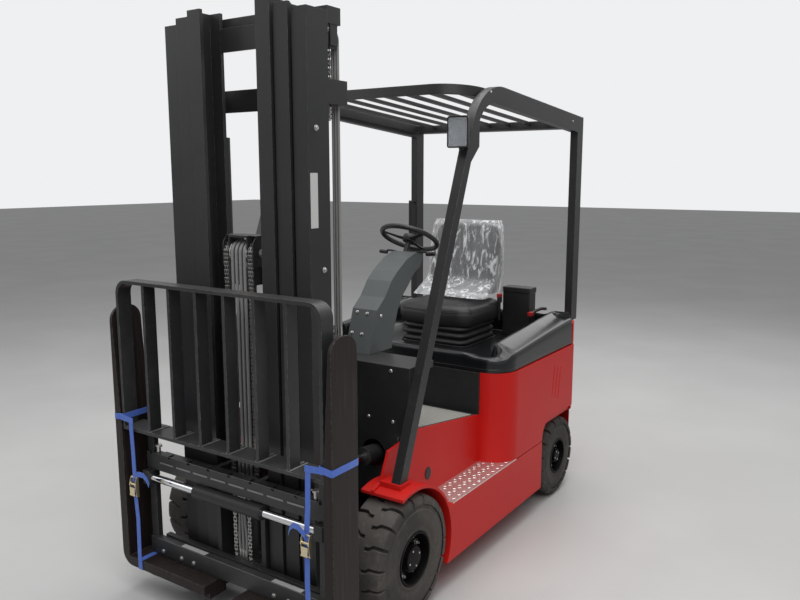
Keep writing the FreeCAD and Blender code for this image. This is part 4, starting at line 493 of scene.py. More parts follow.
class Builder:
    """Mesh of one piece, gathered from simple forms before it becomes an object."""

    def __init__(self) -> None:
        self.bm = bmesh.new()

    def faces(self, points: Sequence[Point], rings: int, around: int,
              closed: bool = True) -> list[bmesh.types.BMVert]:
        """Skins rings of points.

        Args:
            points: all the points, ring after ring.
            rings: how many rings.
            around: points in a ring.
            closed: each ring joins its last point to its first.

        Returns:
            The new vertices.
        """
        verts = [self.bm.verts.new(p) for p in points]
        steps = around if closed else around - 1
        for ring in range(rings - 1):
            for step in range(steps):
                a = ring * around + step
                b = ring * around + (step + 1) % around
                self.bm.faces.new((verts[a], verts[b], verts[b + around], verts[a + around]))
        return verts

    def cap(self, verts: Sequence[bmesh.types.BMVert]) -> None:
        """Closes a ring with one face."""
        self.bm.faces.new(verts)

    def box(self, low: Point, high: Point, turn: Optional[Matrix] = None) -> None:
        """Adds a block between two corners, turned about its own centre if asked.

        Args:
            low: lowest corner.
            high: highest corner.
            turn: rotation about the centre.
        """
        low, high = Vector(low), Vector(high)
        size = high - low
        place = Matrix.Translation((low + high) / 2) @ (turn or Matrix()).to_4x4() @ Matrix.Diagonal((*size,
                                                                                                      1))
        bmesh.ops.create_cube(self.bm, size=1, matrix=place)

    def rod(self, start: Point, end: Point, radius: float, sides: int = 20,
            tip: Optional[float] = None) -> None:
        """Adds a round bar or a cone between two points.

        Args:
            start: centre of one end.
            end: centre of the other end.
            radius: radius at the start.
            sides: sides of the circle.
            tip: radius at the end, where it differs.
        """
        start, end = Vector(start), Vector(end)
        run = end - start
        turn = run.to_track_quat("Z", "Y").to_matrix().to_4x4()
        place = Matrix.Translation((start + end) / 2) @ turn
        bmesh.ops.create_cone(self.bm, cap_ends=True, segments=sides, radius1=radius,
                              radius2=radius if tip is None else tip, depth=run.length, matrix=place)

    def lathe(self, profile: Sequence[tuple[float, float]], centre: Point, axis: Axis, sides: int = 48,
              flip: int = 1) -> None:
        """Turns a profile about an axis.

        Args:
            profile: pairs of place along the axis and radius.
            centre: a point on the axis.
            axis: its direction.
            sides: steps round the axis.
            flip: -1 mirrors the places along the axis.
        """
        centre = Vector(centre)
        first = Axis((axis.value + 1) % 3).vector()
        second = Axis((axis.value + 2) % 3).vector()
        points = []
        for along, radius in profile:
            for angle in circle(sides):
                points.append(centre + axis.vector() * (along * flip)
                              + (first * math.cos(angle) + second * math.sin(angle)) * max(radius, 1e-5))
        self.faces(points, len(profile), sides)

    def plate(self, outline: Sequence[Point], thickness: Vector) -> None:
        """Adds a flat outline with a thickness."""
        count = len(outline)
        verts = self.faces([Vector(p) for p in outline] + [Vector(p) + thickness for p in outline], 2,
                           count)
        self.cap(verts[:count][::-1])
        self.cap(verts[count:])

    def tube(self, path: Sequence[Point], radius: float, sides: int = 12) -> None:
        """Adds a round tube along points that lie close together."""
        path = [Vector(p) for p in path]
        points = []
        side = Vector((1, 0, 0))
        for number, place in enumerate(path):
            ahead = path[min(number + 1, len(path) - 1)] - path[max(number - 1, 0)]
            ahead.normalize()
            side = side - ahead * side.dot(ahead)
            if side.length < 0.05:
                side = ahead.orthogonal()
            side.normalize()
            other = ahead.cross(side)
            for angle in circle(sides):
                points.append(place + (side * math.cos(angle) + other * math.sin(angle)) * radius)
        verts = self.faces(points, len(path), sides)
        self.cap(verts[:sides][::-1])
        self.cap(verts[-sides:])

    def ribbon(self, path: Sequence[Point], width: Vector, thickness: float) -> None:
        """Adds a flat strap along a path.

        Args:
            path: the strap's middle line.
            width: vector across the strap, its full width.
            thickness: the strap's thickness.
        """
        path = [Vector(p) for p in path]
        points = []
        for number, place in enumerate(path):
            ahead = path[min(number + 1, len(path) - 1)] - path[max(number - 1, 0)]
            out = ahead.cross(width).normalized() * (thickness / 2)
            half = width / 2
            points += [place - half - out, place + half - out, place + half + out, place - half + out]
        verts = self.faces(points, len(path), 4)
        self.cap(verts[:4][::-1])
        self.cap(verts[-4:])

    def bolt(self, place: Point, axis: Vector, radius: float, height: float, washer: bool = True) -> None:
        """Adds a hexagon head on its washer, standing on a surface.

        Args:
            place: centre of the foot.
            axis: outward direction.
            radius: across the corners, halved.
            height: of the head.
            washer: puts a washer under it.
        """
        place, axis = Vector(place), Vector(axis).normalized()
        foot = place - axis * 0.001
        if washer:
            self.rod(foot, place + axis * height * 0.22, radius * 1.35, 20)
        self.rod(foot, place + axis * height * 0.85, radius, 6)
        self.rod(place + axis * height * 0.8, place + axis * height, radius * 0.94, 12, radius * 0.80)

    def dome(self, place: Point, axis: Vector, radius: float, height: float) -> None:
        """Adds a low round head standing on a surface."""
        place, axis = Vector(place), Vector(axis).normalized()
        last = radius
        low = -0.001
        for share, size in ((0.35, 0.98), (0.7, 0.82), (0.92, 0.5), (1.0, 0.2)):
            self.rod(place + axis * low, place + axis * height * share, last, 18, radius * size)
            last = radius * size
            low = height * share - 0.0001

    def to_object(self, name: str, material: Optional[Shader] = None) -> bpy.types.Object:
        """Puts the mesh into the scene as an object, with its material if it has one."""
        mesh = bpy.data.meshes.new(name)
        self.bm.to_mesh(mesh)
        self.bm.free()
        if material:
            mesh.materials.append(material)
        piece = bpy.data.objects.new(name, mesh)
        bpy.context.scene.collection.objects.link(piece)
        return piece

    def finish(self, name: str, material: Shader, body: str, slot: str = "", bevel: float = 0.0,
               segments: int = 2,
               smooth: float = 38.0, subdivide: int = 0, weld: bool = False) -> bpy.types.Object:
        """Turns the mesh into an object that rides on a body.

        Args:
            name: the piece's name.
            material: its material.
            body: the CAD body that it moves with.
            slot: the record's material slot; not used.
            bevel: width of rounded edges, in metres.
            segments: steps of the rounding.
            smooth: largest angle, in degrees, that shades as one surface.
            subdivide: levels of subdivision.
            weld: merges vertices that lie together.

        Returns:
            The object.
        """
        if weld:
            bmesh.ops.remove_doubles(self.bm, verts=self.bm.verts, dist=1e-5)
        bmesh.ops.recalc_face_normals(self.bm, faces=self.bm.faces)
        piece = self.to_object(name, material)
        mesh = piece.data
        mesh.polygons.foreach_set("use_smooth", [True] * len(mesh.polygons))
        mesh.set_sharp_from_angle(angle=math.radians(smooth))
        if bevel:
            rounding = piece.modifiers.new("Rounding", "BEVEL")
            rounding.width = bevel
            rounding.segments = segments
            rounding.limit_method = "ANGLE"
            rounding.angle_limit = math.radians(40)
            rounding.harden_normals = True
        if subdivide:
            smoothing = piece.modifiers.new("Smoothing", "SUBSURF")
            smoothing.levels = subdivide
            smoothing.render_levels = subdivide
        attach(piece, body)
        LOG.info("%s rides on %s", name, body)
        return piece


def rounded_ring(half_x: float, front: float, back: float, corner: float, steps: int = 8,
                 rear_corner: Optional[float] = None) -> list[tuple[Vector, Vector]]:
    """Rounded rectangle in plan, as places with their inward directions.

    Args:
        half_x: half its width.
        front: its lowest Y.
        back: its highest Y.
        corner: corner radius at the front.
        steps: steps of each corner.
        rear_corner: corner radius at the back, where it differs.

    Returns:
        Pairs of place and inward unit vector, anticlockwise from the front right corner's start.
    """
    rear = corner if rear_corner is None else rear_corner
    out = []
    # Columns: sign along X, place along Y of the corner's edge, radius, first angle in degrees
    for sign, edge, radius, start in ((-1, front, corner, 180), (1, front, corner, 270), (1, back, rear, 0),
                                      (-1, back, rear, 90)):
        inward = 1 if edge == front else -1
        centre = Vector((sign * (half_x - radius), edge + inward * radius, 0))
        for cosine, sine in quarter(start, steps):
            outward = Vector((cosine, sine, 0))
            out.append((centre + outward * radius, -outward))
    return out


def level(ring: Sequence[tuple[Vector, Vector]], z: float) -> list[Vector]:
    """Places of a ring at one height."""
    return [Vector((place.x, place.y, z)) for place, _ in ring]


def filled_ring(ring: Sequence[tuple[Vector, Vector]], spacing: float) -> list[tuple[Vector, Vector]]:
    """Adds places on the long straight runs of a ring, no further apart than the spacing."""
    out = []
    for number, (place, inward) in enumerate(ring):
        following, other = ring[(number + 1) % len(ring)]
        out.append((place, inward))
        count = int((following - place).length / spacing)
        for step in range(1, count):
            share = step / count
            out.append((place.lerp(following, share), inward.lerp(other, share).normalized()))
    return out


def slab(builder: Builder, top: Sequence[Sequence[Point]], base: Sequence[Sequence[Point]]) -> None:
    """Closes the space between two grids of points of the same size.

    Args:
        builder: mesh that gets it.
        top: rows of points of the outer face.
        base: rows of points of the inner face.
    """
    rows, steps = len(top), len(top[0])
    upper = [[builder.bm.verts.new(p) for p in row] for row in top]
    lower = [[builder.bm.verts.new(p) for p in row] for row in base]
    new = builder.bm.faces.new
    for r in range(rows - 1):
        for s in range(steps - 1):
            new((upper[r][s], upper[r][s + 1], upper[r + 1][s + 1], upper[r + 1][s]))
            new((lower[r][s], lower[r + 1][s], lower[r + 1][s + 1], lower[r][s + 1]))
    for s in range(steps - 1):
        new((upper[0][s], lower[0][s], lower[0][s + 1], upper[0][s + 1]))
        new((upper[-1][s], upper[-1][s + 1], lower[-1][s + 1], lower[-1][s]))
    for r in range(rows - 1):
        new((upper[r][0], upper[r + 1][0], lower[r + 1][0], lower[r][0]))
        new((upper[r][-1], lower[r][-1], lower[r + 1][-1], upper[r + 1][-1]))


def loft(builder: Builder, rings: Sequence[Sequence[Point]], close_low: bool = True,
         close_high: bool = True) -> None:
    """Skins closed rings of equal count and caps its ends.

    Args:
        builder: mesh that gets it.
        rings: the rings from one end to the other.
        close_low: caps the first ring.
        close_high: caps the last ring.
    """
    around = len(rings[0])
    verts = builder.faces([p for ring in rings for p in ring], len(rings), around)
    if close_low:
        builder.cap(verts[:around][::-1])
    if close_high:
        builder.cap(verts[-around:])


class Stage:
    """Pale floor, plain soft light and the camera at the photograph's angle."""

    floor_color = (0.60, 0.60, 0.59)
    sky_color = (0.86, 0.87, 0.88)
    camera_place = (2.222, -3.192, 1.834)
    camera_turn = (1.4104, 0.0, 0.5901)
    lens = 34.72

    def build(self) -> None:
        """Makes the whole surround."""
        self._world()
        self._floor()
        # Columns: name, place, size, watts
        lamps = (
            ("KeyLight", (2.6, -3.0, 5.2), 4.0, 130.0),
            ("FillLight", (-4.2, -2.6, 4.4), 4.0, 50.0),
            ("RearLight", (0.5, 4.6, 4.8), 4.0, 70.0),
            ("TopLight", (0.0, 0.3, 6.0), 4.5, 190.0),
        )
        for name, place, size, watts in lamps:
            self._lamp(name, Vector(place), size, watts)
        self._camera()

    def _world(self) -> None:
        """Even light from all round, and a pale background for the camera and for reflections."""
        world = bpy.data.worlds.new("Surround")
        world.use_nodes = True
        bpy.context.scene.world = world
        nodes = Nodes(world.node_tree)
        back = world.node_tree.nodes["Background"]
        back.inputs["Color"].default_value = (*self.sky_color, 1)
        path = nodes.add("LightPath")
        seen = nodes.math("ADD", path.outputs["Is Camera Ray"], path.outputs["Is Transmission Ray"], True)
        shine = nodes.math("MULTIPLY", path.outputs["Is Glossy Ray"], 0.55)
        seen = nodes.math("MAXIMUM", seen, shine)
        nodes.link(nodes.math("MAXIMUM", seen, 0.30), back.inputs["Strength"])

    def _floor(self) -> None:
        """Wide pale floor."""
        builder = Builder()
        reach = 40.0
        builder.plate([(-reach, -reach, -0.02), (reach, -reach, -0.02), (reach, reach, -0.02),
                       (-reach, reach, -0.02)],
                      Vector((0, 0, 0.02)))
        material = bpy.data.materials.new("PaleFloor")
        material.use_nodes = True
        nodes = Nodes(material.node_tree)
        shader = material.node_tree.nodes["Principled BSDF"]
        blotch = nodes.texture("TexNoise", nodes.place(), Scale=0.9, Detail=6.0)
        shade = tuple(c * 0.93 for c in self.floor_color)
        nodes.link(nodes.mix(nodes.ramp(blotch.outputs[0], 0.35, 0.7), shade, self.floor_color),
                   shader.inputs["Base Color"])
        shader.inputs["Roughness"].default_value = 0.55
        floor = builder.to_object("Floor", material)

    @staticmethod
    def _lamp(name: str, place: Vector, size: float, watts: float) -> None:
        """Square area light that looks at the machine's middle."""
        light = bpy.data.lights.new(name, "AREA")
        light.size = size
        light.energy = watts
        lamp = bpy.data.objects.new(name, light)
        lamp.location = place
        lamp.rotation_euler = (Vector((0, 0, 0.9)) - place).to_track_quat("-Z", "Y").to_euler()
        bpy.context.scene.collection.objects.link(lamp)

    def _camera(self) -> None:
        """Camera solved from the photograph."""
        data = bpy.data.cameras.new("Camera")
        data.lens = self.lens
        data.sensor_width = 36.0
        data.clip_end = 200.0
        camera = bpy.data.objects.new("Camera", data)
        camera.location = self.camera_place
        camera.rotation_euler = self.camera_turn
        bpy.context.scene.collection.objects.link(camera)
        bpy.context.scene.camera = camera
        bpy.context.scene.view_settings.view_transform = "Standard"


class SteelFrame:
    """The frame's own shapes that stay in view, each with its finish."""

    finishes: dict[str, tuple[str, ...]] = {
        "MastPaint": (
            "mast_outer", "outer_ties", "lift_barrels", "mast_middle", "middle_ties", "mast_inner",
            "inner_ties",
            "free_lift_barrel", "free_lift_crosshead", "carriage", "carriage_bars", "shift_barrel",
            "tilt_barrels",
        ),
        "RackPaint": ("fork_frame", "backrest"),
        "ForkPaint": ("fork_left", "fork_right"),
        "GuardPaint": ("overhead_guard",),
        "RedPaint": ("frame", "side_cover_left", "side_cover_right"),
        "CastRed": ("counterweight",),
        "AxleIron": ("drive_axle", "steer_axle", "knuckle_left", "knuckle_right"),
        "RimPaint": ("front_rim_left", "front_rim_right", "rear_rim_left", "rear_rim_right"),
        "PlatePaint": ("front_plate", "front_cover"),
        "CowlPlastic": ("cowl",),
        "BlackPlastic": ("pedals",),
        # The floor plate under the mat's ribs, near black as painted shade in the grooves.
        "MatGrooveShade": ("floor_plate",),
        "StepAlloy": ("step_plates",),
        "Chrome": ("lift_rods", "shift_rod", "tilt_rods"),
        "ZincBolt": ("tow_pin",),
        "BatteryCase": ("battery",),
    }

    def dress(self, palette: Palette, nodes: dict[str, bpy.types.Object]) -> None:
        """Gives each node its material.

        Args:
            palette: the materials.
            nodes: the frame's nodes by name.
        """
        for finish, names in self.finishes.items():
            for name in names:
                mesh = nodes[name].data
                mesh.materials.clear()
                mesh.materials.append(palette.get(finish))
                LOG.info("%s in %s", name, finish)


@dataclass(frozen=True)
class TyreSize:
    """Sizes of one solid tyre and of its rim's face."""

    radius: float
    bore: float
    inner: float
    outer: float
    axle_y: float
    hub: float
    lugs: int
    nuts: int
    nut_circle: float
    nut: float


class Wheels:
    """Solid tyres with block tread, wheel nuts, hub caps and rim edges."""

    sizes = {
        "front": TyreSize(0.265, 0.114, 0.418, 0.618, 0.0, 0.062, 19, 8, 0.083, 0.0095),
        "rear": TyreSize(0.229, 0.101, 0.4395, 0.6045, WHEELBASE, 0.046, 17, 6, 0.068, 0.0085),
    }
    groove_depth = 0.017
    groove_width = 0.012
    kink = 0.013
    skin = 0.0006

    def build(self, palette: Palette) -> None:
        """Makes all four wheels' visible pieces."""
        for place, size in self.sizes.items():
            for name, side in SIDES:
                self._tyre(palette, place, name, side, size)
                self._rim(palette, place, name, side, size)

    def _crown(self, size: TyreSize, inset: float) -> float:
        """Radius of the tread's face at a distance from the tyre's side."""
        return between(((0.0, size.radius - 0.0215), (0.011, size.radius - 0.0055), (0.031, size.radius)),
                       inset) - self.skin

    def _carcass(self, builder: Builder, size: TyreSize, side: int) -> None:
        """Turns the tyre's body under its lugs."""
        middle = (size.inner + size.outer) / 2
        half = (size.outer - size.inner) / 2
        floor = size.radius - self.groove_depth
        # Columns: distance inward from the tyre's side, radius
        wall = (
            (0.004, size.bore + 0.001), (0.0015, size.bore + 0.010), (0.0045, size.bore + 0.013),
            (0.0050, size.bore + 0.024), (0.0015, size.bore + 0.030), (0.0006, size.bore + 0.052),
            (0.0012, size.radius - 0.062), (0.0050, size.radius - 0.058), (0.0052, size.radius - 0.046),
            (0.0075, size.radius - 0.040), (0.016, floor - 0.008), (0.034, floor - 0.001),
            (half * 0.98, floor),
        )
        profile = [(-half + inset, radius) for inset, radius in wall]
        profile += [(half - inset, radius) for inset, radius in reversed(wall)]
        profile.append(profile[0])
        centre = (middle * side, behind(size.axle_y), size.radius)
        builder.lathe(profile, centre, Axis.X, 96, side)

    def _lug(self, builder: Builder, size: TyreSize, side: int, row: int, start: float,
             sweep: float) -> None:
        """Adds one tread block.

        Args:
            builder: the tyre's mesh.
            size: the tyre's sizes.
            side: 1 on the machine's left, -1 on its right.
            row: 1 for the outer row, -1 for the inner one.
            start: angle where the block starts.
            sweep: angle that it covers.
        """
        width = size.outer - size.inner
        reach = width * 0.53
        insets = (0.0, 0.011, 0.031, reach * 0.52, reach * 0.68, reach)
        shifts = (0.0, 0.0, 0.0, 0.0, self.kink, self.kink)
        edge = size.outer if row > 0 else size.inner
        top, base = [], []
        for inset, shift in zip(insets, shifts):
            upper, lower = [], []
            x = (edge - row * (inset + self.skin)) * side
            high = self._crown(size, inset)
            low = size.radius - self.groove_depth - 0.004 - 0.020 * max(0.0, 1 - inset / 0.02)
            trim = 0.0016 / size.radius
            for step in range(5):
                share = step / 4
                angle = start + shift / size.radius + sweep * share
                upper.append(self._at(size, x, high, angle + trim * (0.5 - share) * 2))
                lower.append(self._at(size, x, low, angle - trim * (0.5 - share) * 2))
            top.append(upper)
            base.append(lower)
        slab(builder, top, base)

    @staticmethod
    def _at(size: TyreSize, x: float, radius: float, angle: float) -> Vector:
        """Point on a circle round the axle."""
        return Vector((x, behind(size.axle_y) + radius * math.cos(angle),
                       size.radius + radius * math.sin(angle)))

    def _tyre(self, palette: Palette, place: str, name: str, side: int, size: TyreSize) -> None:
        """Makes one tyre."""
        builder = Builder()
        self._carcass(builder, size, side)
        pitch = 2 * math.pi / size.lugs
        sweep = pitch - self.groove_width / size.radius
        for number in range(size.lugs):
            for row, offset in ((1, 0.0), (-1, 0.5)):
                self._lug(builder, size, side, row, (number + offset) * pitch, sweep)
        tyre = builder.finish(f"{place.title()}Tyre{name.title()}", palette.get("TyreRubber"),
                              f"{place}_wheel_{name}", "tyre", bevel=0.0022, weld=True)
        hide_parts(f"{place}_tyre_{name}")

    def _rim(self, palette: Palette, place: str, name: str, side: int, size: TyreSize) -> None:
        """Adds the rim's rolled edge, its nuts, studs and hub cap."""
        body = f"{place}_wheel_{name}"
        face = size.outer - 0.052
        centre = (0.0, behind(size.axle_y), size.radius)
        edge = Builder()
        lip = size.bore - 0.0006
        edge.lathe([(size.outer - 0.004, lip), (size.outer - 0.0005, lip - 0.002),
                    (size.outer - 0.0005, lip - 0.0075),
                    (size.outer - 0.005, lip - 0.0095), (size.outer - 0.010, lip - 0.009),
                    (size.outer - 0.010, lip),
                    (size.outer - 0.004, lip)], centre, Axis.X, 72, side)
        hub = size.hub - 0.010
        edge.lathe([(size.outer - 0.024, hub), (size.outer - 0.010, hub), (size.outer - 0.007, hub - 0.003),
                    (size.outer - 0.0055, hub * 0.6), (size.outer - 0.005, 0.0)], centre, Axis.X, 40, side)
        edge.finish(f"{place.title()}RimEdge{name.title()}", palette.get("RimPaint"), body, "rim_black",
                    weld=True)
        nuts = Builder()
        outward = Vector((side, 0, 0))
        for number in range(size.nuts):
            angle = 2 * math.pi * (number + 0.5) / size.nuts
            foot = self._at(size, face * side, size.nut_circle, angle)
            nuts.bolt(foot, outward, size.nut, 0.012)
            nuts.rod(foot, foot + outward * 0.019, size.nut * 0.55, 14)
        for number in range(4):
            angle = 2 * math.pi * (number + 0.2) / 4
            foot = self._at(size, (size.outer - 0.0095) * side, hub * 0.72, angle)
            nuts.bolt(foot, outward, 0.0045, 0.005, False)
        nuts.finish(f"{place.title()}WheelNuts{name.title()}", palette.get("ZincBolt"), body,
                    bevel=BOLT_EDGE)


@dataclass(frozen=True)
class Run:
    """Path that goes up, half a turn over a pulley and down again, in a plane across X."""

    y: float
    z: float
    radius: float
    front_low: float
    rear_low: float

    def length(self) -> float:
        """Length of the whole path."""
        return (self.z - self.front_low) + math.pi * self.radius + (self.z - self.rear_low)

    def at(self, distance: float) -> tuple[float, float]:
        """Place along Y and Z at a distance from the front end."""
        rise = self.z - self.front_low
        if distance <= rise:
            return self.y - self.radius, self.front_low + distance
        angle = (distance - rise) / self.radius
        if angle <= math.pi:
            return self.y - self.radius * math.cos(angle), self.z + self.radius * math.sin(angle)
        return self.y + self.radius, self.z - (distance - rise - math.pi * self.radius)

    def points(self, x: float) -> list[Vector]:
        """Corners of the path for a hose: few on the straight runs, close together on the turn."""
        out = [Vector((x, self.y - self.radius,
                       self.front_low + (self.z - self.front_low) * k / 6)) for k in range(7)]
        out += [
            Vector((x, self.y - self.radius * math.cos(a), self.z + self.radius * math.sin(a)))
            for a in (math.pi * k / 20 for k in range(1, 20))
        ]
        out += [Vector((x, self.y + self.radius,
                        self.z - (self.z - self.rear_low) * k / 6)) for k in range(7)]
        return out


STAGE_RUN = Run(behind(-0.176), 2.330, 0.038, 0.420, 2.1505)
STAGE_HOSE_RUN = Run(behind(-0.176), 2.330, 0.038, 1.190, 1.190)
FREE_RUN = Run(behind(-0.300), 1.530, 0.044, 0.560, 1.1955)
FREE_HOSE_RUN = Run(behind(-0.300), 1.530, 0.044, 0.600, 1.480)


class Chains:
    """Leaf chains of the mast: plates in turn on pins."""

    pitch = 0.0159
    plate_height = 0.0046
    plate = 0.0021

    def build(self, palette: Palette) -> None:
        """Makes both pairs of chains with the pulleys that they run over, and the carriage's ends."""
        # Columns: name, run, centre along X, width, body, node
        rows = (
            ("StageChains", STAGE_RUN, STAGE_CHAIN_X, 0.020, "mast_middle", "stage_chains"),
            ("FreeLiftChains", FREE_RUN, FREE_CHAIN_X, 0.024, "crosshead", "free_lift_chains"),
        )
        for name, run, x, width, body, node in rows:
            chain, wheels = Builder(), Builder()
            for _, side in SIDES:
                self._chain(chain, run, x * side, width)
                self._sheave(wheels, run, x * side, width)
            piece = chain.finish(name, palette.get("ChainSteel"), body, "chain_steel")
            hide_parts(node)
            wheels.finish(name + "Sheaves", palette.get("PlatePaint"), body, weld=True)
        self._tails(palette)

    def _tails(self, palette: Palette) -> None:
        """Makes the chains' and hoses' lower ends that hang on the carriage, with their anchor block."""
        chain, hoses, block = Builder(), Builder(), Builder()
        y = behind(-0.3695)
        for _, side in SIDES:
            x = 0.041 * side
            joints = [Vector((x, y, 0.262 + self.pitch * number)) for number in range(19)]
            self._links(chain, joints, (-0.0075, 0.0075), (-0.0035, 0.0035))
            self._pins(chain, joints, 0.0095, 0.0030)
            block.rod((x, y, 0.214), (x, y, 0.262), 0.0055, 14)
            block.rod((x, y, 0.246), (x, y, 0.258), 0.0090, 6)
        for number in range(3):
            x = 0.016 * (number - 1)
            hoses.tube([(x, y, 0.252), (x * 1.3, y, 0.34), (x * 0.9, y - 0.002, 0.44), (x, y, 0.545)],
                       0.0060, 12)
            block.rod((x, y, 0.250), (x, y, 0.290), 0.0068, 12)
            block.rod((x, y, 0.520), (x, y, 0.548), 0.0068, 12)
        block.box((-0.052, y - 0.009, 0.234), (0.052, y + 0.009, 0.246))
        chain.finish("CarriageChainEnds", palette.get("ZincBolt"), "carriage", "chain_steel")
        hoses.finish("CarriageHoseEnds", palette.get("HoseGrey"), "carriage", "hose_rubber")
        block.finish("CarriageAnchorBlock", palette.get("ZincBolt"), "carriage", bevel=0.0008)

    def _chain(self, builder: Builder, run: Run, x: float, width: float) -> None:
        """Adds one chain.

        Args:
            builder: the chains' mesh.
            run: its path.
            x: its middle.
            width: its width.
        """
        count = int(run.length() / self.pitch)
        pitch = run.length() / count
        joints = [Vector((x, *run.at(pitch * number))) for number in range(count + 1)]
        half = width / 2 - self.plate / 2 - 0.0006
        even = (-half, -half * 0.18, half * 0.18, half)
        self._links(builder, joints, even, (-half * 0.62, half * 0.62))
        self._pins(builder, joints[1:-1], width / 2 - 0.0003, 0.0024)

    def _links(self, builder: Builder, joints: Sequence[Vector], even: Sequence[float],
               odd: Sequence[float]) -> None:
        """Adds the link plates between joints.

        Args:
            builder: the chains' mesh.
            joints: centres of the pins.
            even: plates' places across the chain in every second link, from the second on.
            odd: their places in the others.
        """
        for number, (start, end) in enumerate(zip(joints, joints[1:])):
            for offset in (even if number % 2 else odd):
                self._plate(builder, start, end, offset)

    @staticmethod
    def _pins(builder: Builder, joints: Sequence[Vector], reach: float, radius: float) -> None:
        """Adds a pin through each joint."""
        half = Vector((reach, 0, 0))
        for joint in joints:
            builder.rod(joint - half, joint + half, radius, 8)

    def _plate(self, builder: Builder, start: Vector, end: Vector, offset: float) -> None:
        """Adds a link plate with round ends and a narrower waist."""
        along = (end - start).normalized()
        up = along.cross(Vector((1, 0, 0)))
        high = self.plate_height
        length = (end - start).length
        # Columns: share along the link, overhang, height
        row = ((0, -high, 0.35), (0, -high * 0.6, 0.85), (0, 0, 1.0), (0.5, 0, 0.72), (1, 0, 1.0),
               (1, high * 0.6, 0.85),
               (1, high, 0.35))
        side = Vector((offset - self.plate / 2, 0, 0))
        edge = [start + along * (length * share + more) + up * high * tall + side for share, more,
                tall in row]
        edge += [start + along * (length * share + more) - up * high * tall + side for share, more,
                 tall in row[::-1]]
        builder.plate(edge, Vector((self.plate, 0, 0)))

    def _sheave(self, builder: Builder, run: Run, x: float, width: float) -> None:
        """Adds the pulley under a chain."""
        radius = run.radius - self.plate_height - 0.0006
        half = width / 2 - 0.001
        centre = (x, run.y, run.z)
        builder.lathe([(-half, 0.012), (-half, radius - 0.010), (-half + 0.003, radius - 0.008),
                       (-half + 0.003, radius),
                       (half - 0.003, radius), (half - 0.003, radius - 0.008), (half, radius - 0.010),
                       (half, 0.012),
                       (-half, 0.012)], centre, Axis.X, 40)


class Hoses:
    """Hydraulic hoses over the pulleys, with crimped ends."""

    def build(self, palette: Palette) -> None:
        """Makes the hoses of the middle stage and of the free-lift head."""
        hoses, drums, ends = Builder(), Builder(), Builder()
        for _, side in SIDES:
            for number in range(3):
                x = (0.322 + 0.013 * number) * side
                hoses.tube(STAGE_HOSE_RUN.points(x), 0.0058, 14)
                for y in (STAGE_HOSE_RUN.y - STAGE_HOSE_RUN.radius,
                          STAGE_HOSE_RUN.y + STAGE_HOSE_RUN.radius):
                    ends.rod((x, y, 1.1905), (x, y, 1.206), 0.0060, 6)
                    ends.rod((x, y, 1.206), (x, y, 1.236), 0.0061, 14, 0.0059)
            drums.lathe([(-0.0205, 0.013), (-0.0205, 0.0335), (-0.0190, 0.0335), (-0.0190, 0.0312),
                         (0.0190, 0.0312),
                         (0.0190, 0.0335), (0.0205, 0.0335), (0.0205, 0.013), (-0.0205, 0.013)],
                        (0.335 * side, STAGE_HOSE_RUN.y, STAGE_HOSE_RUN.z), Axis.X, 40)
        piece = hoses.finish("StageHoses", palette.get("HoseGrey"), "mast_middle", "hose_rubber")
        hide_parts("stage_hoses")
        drums.finish("StageHosePulleys", palette.get("PlatePaint"), "mast_middle", weld=True)
        ends.finish("StageHoseEnds", palette.get("ZincBolt"), "mast_middle", bevel=BOLT_EDGE)
        free, fittings = Builder(), Builder()
        for number in range(4):
            x = 0.022 * (number - 1.5)
            free.tube(FREE_HOSE_RUN.points(x), 0.0068, 14)
            front = FREE_HOSE_RUN.y - FREE_HOSE_RUN.radius
            fittings.rod((x, front, 0.6005), (x, front, 0.618), 0.0072, 6)
            fittings.rod((x, front, 0.618), (x, front, 0.652), 0.0071, 14, 0.0069)
        piece = free.finish("FreeLiftHoses", palette.get("HoseGrey"), "crosshead", "hose_rubber")
        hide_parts("free_lift_hoses")
        fittings.finish("FreeLiftHoseEnds", palette.get("ZincBolt"), "crosshead", bevel=BOLT_EDGE)


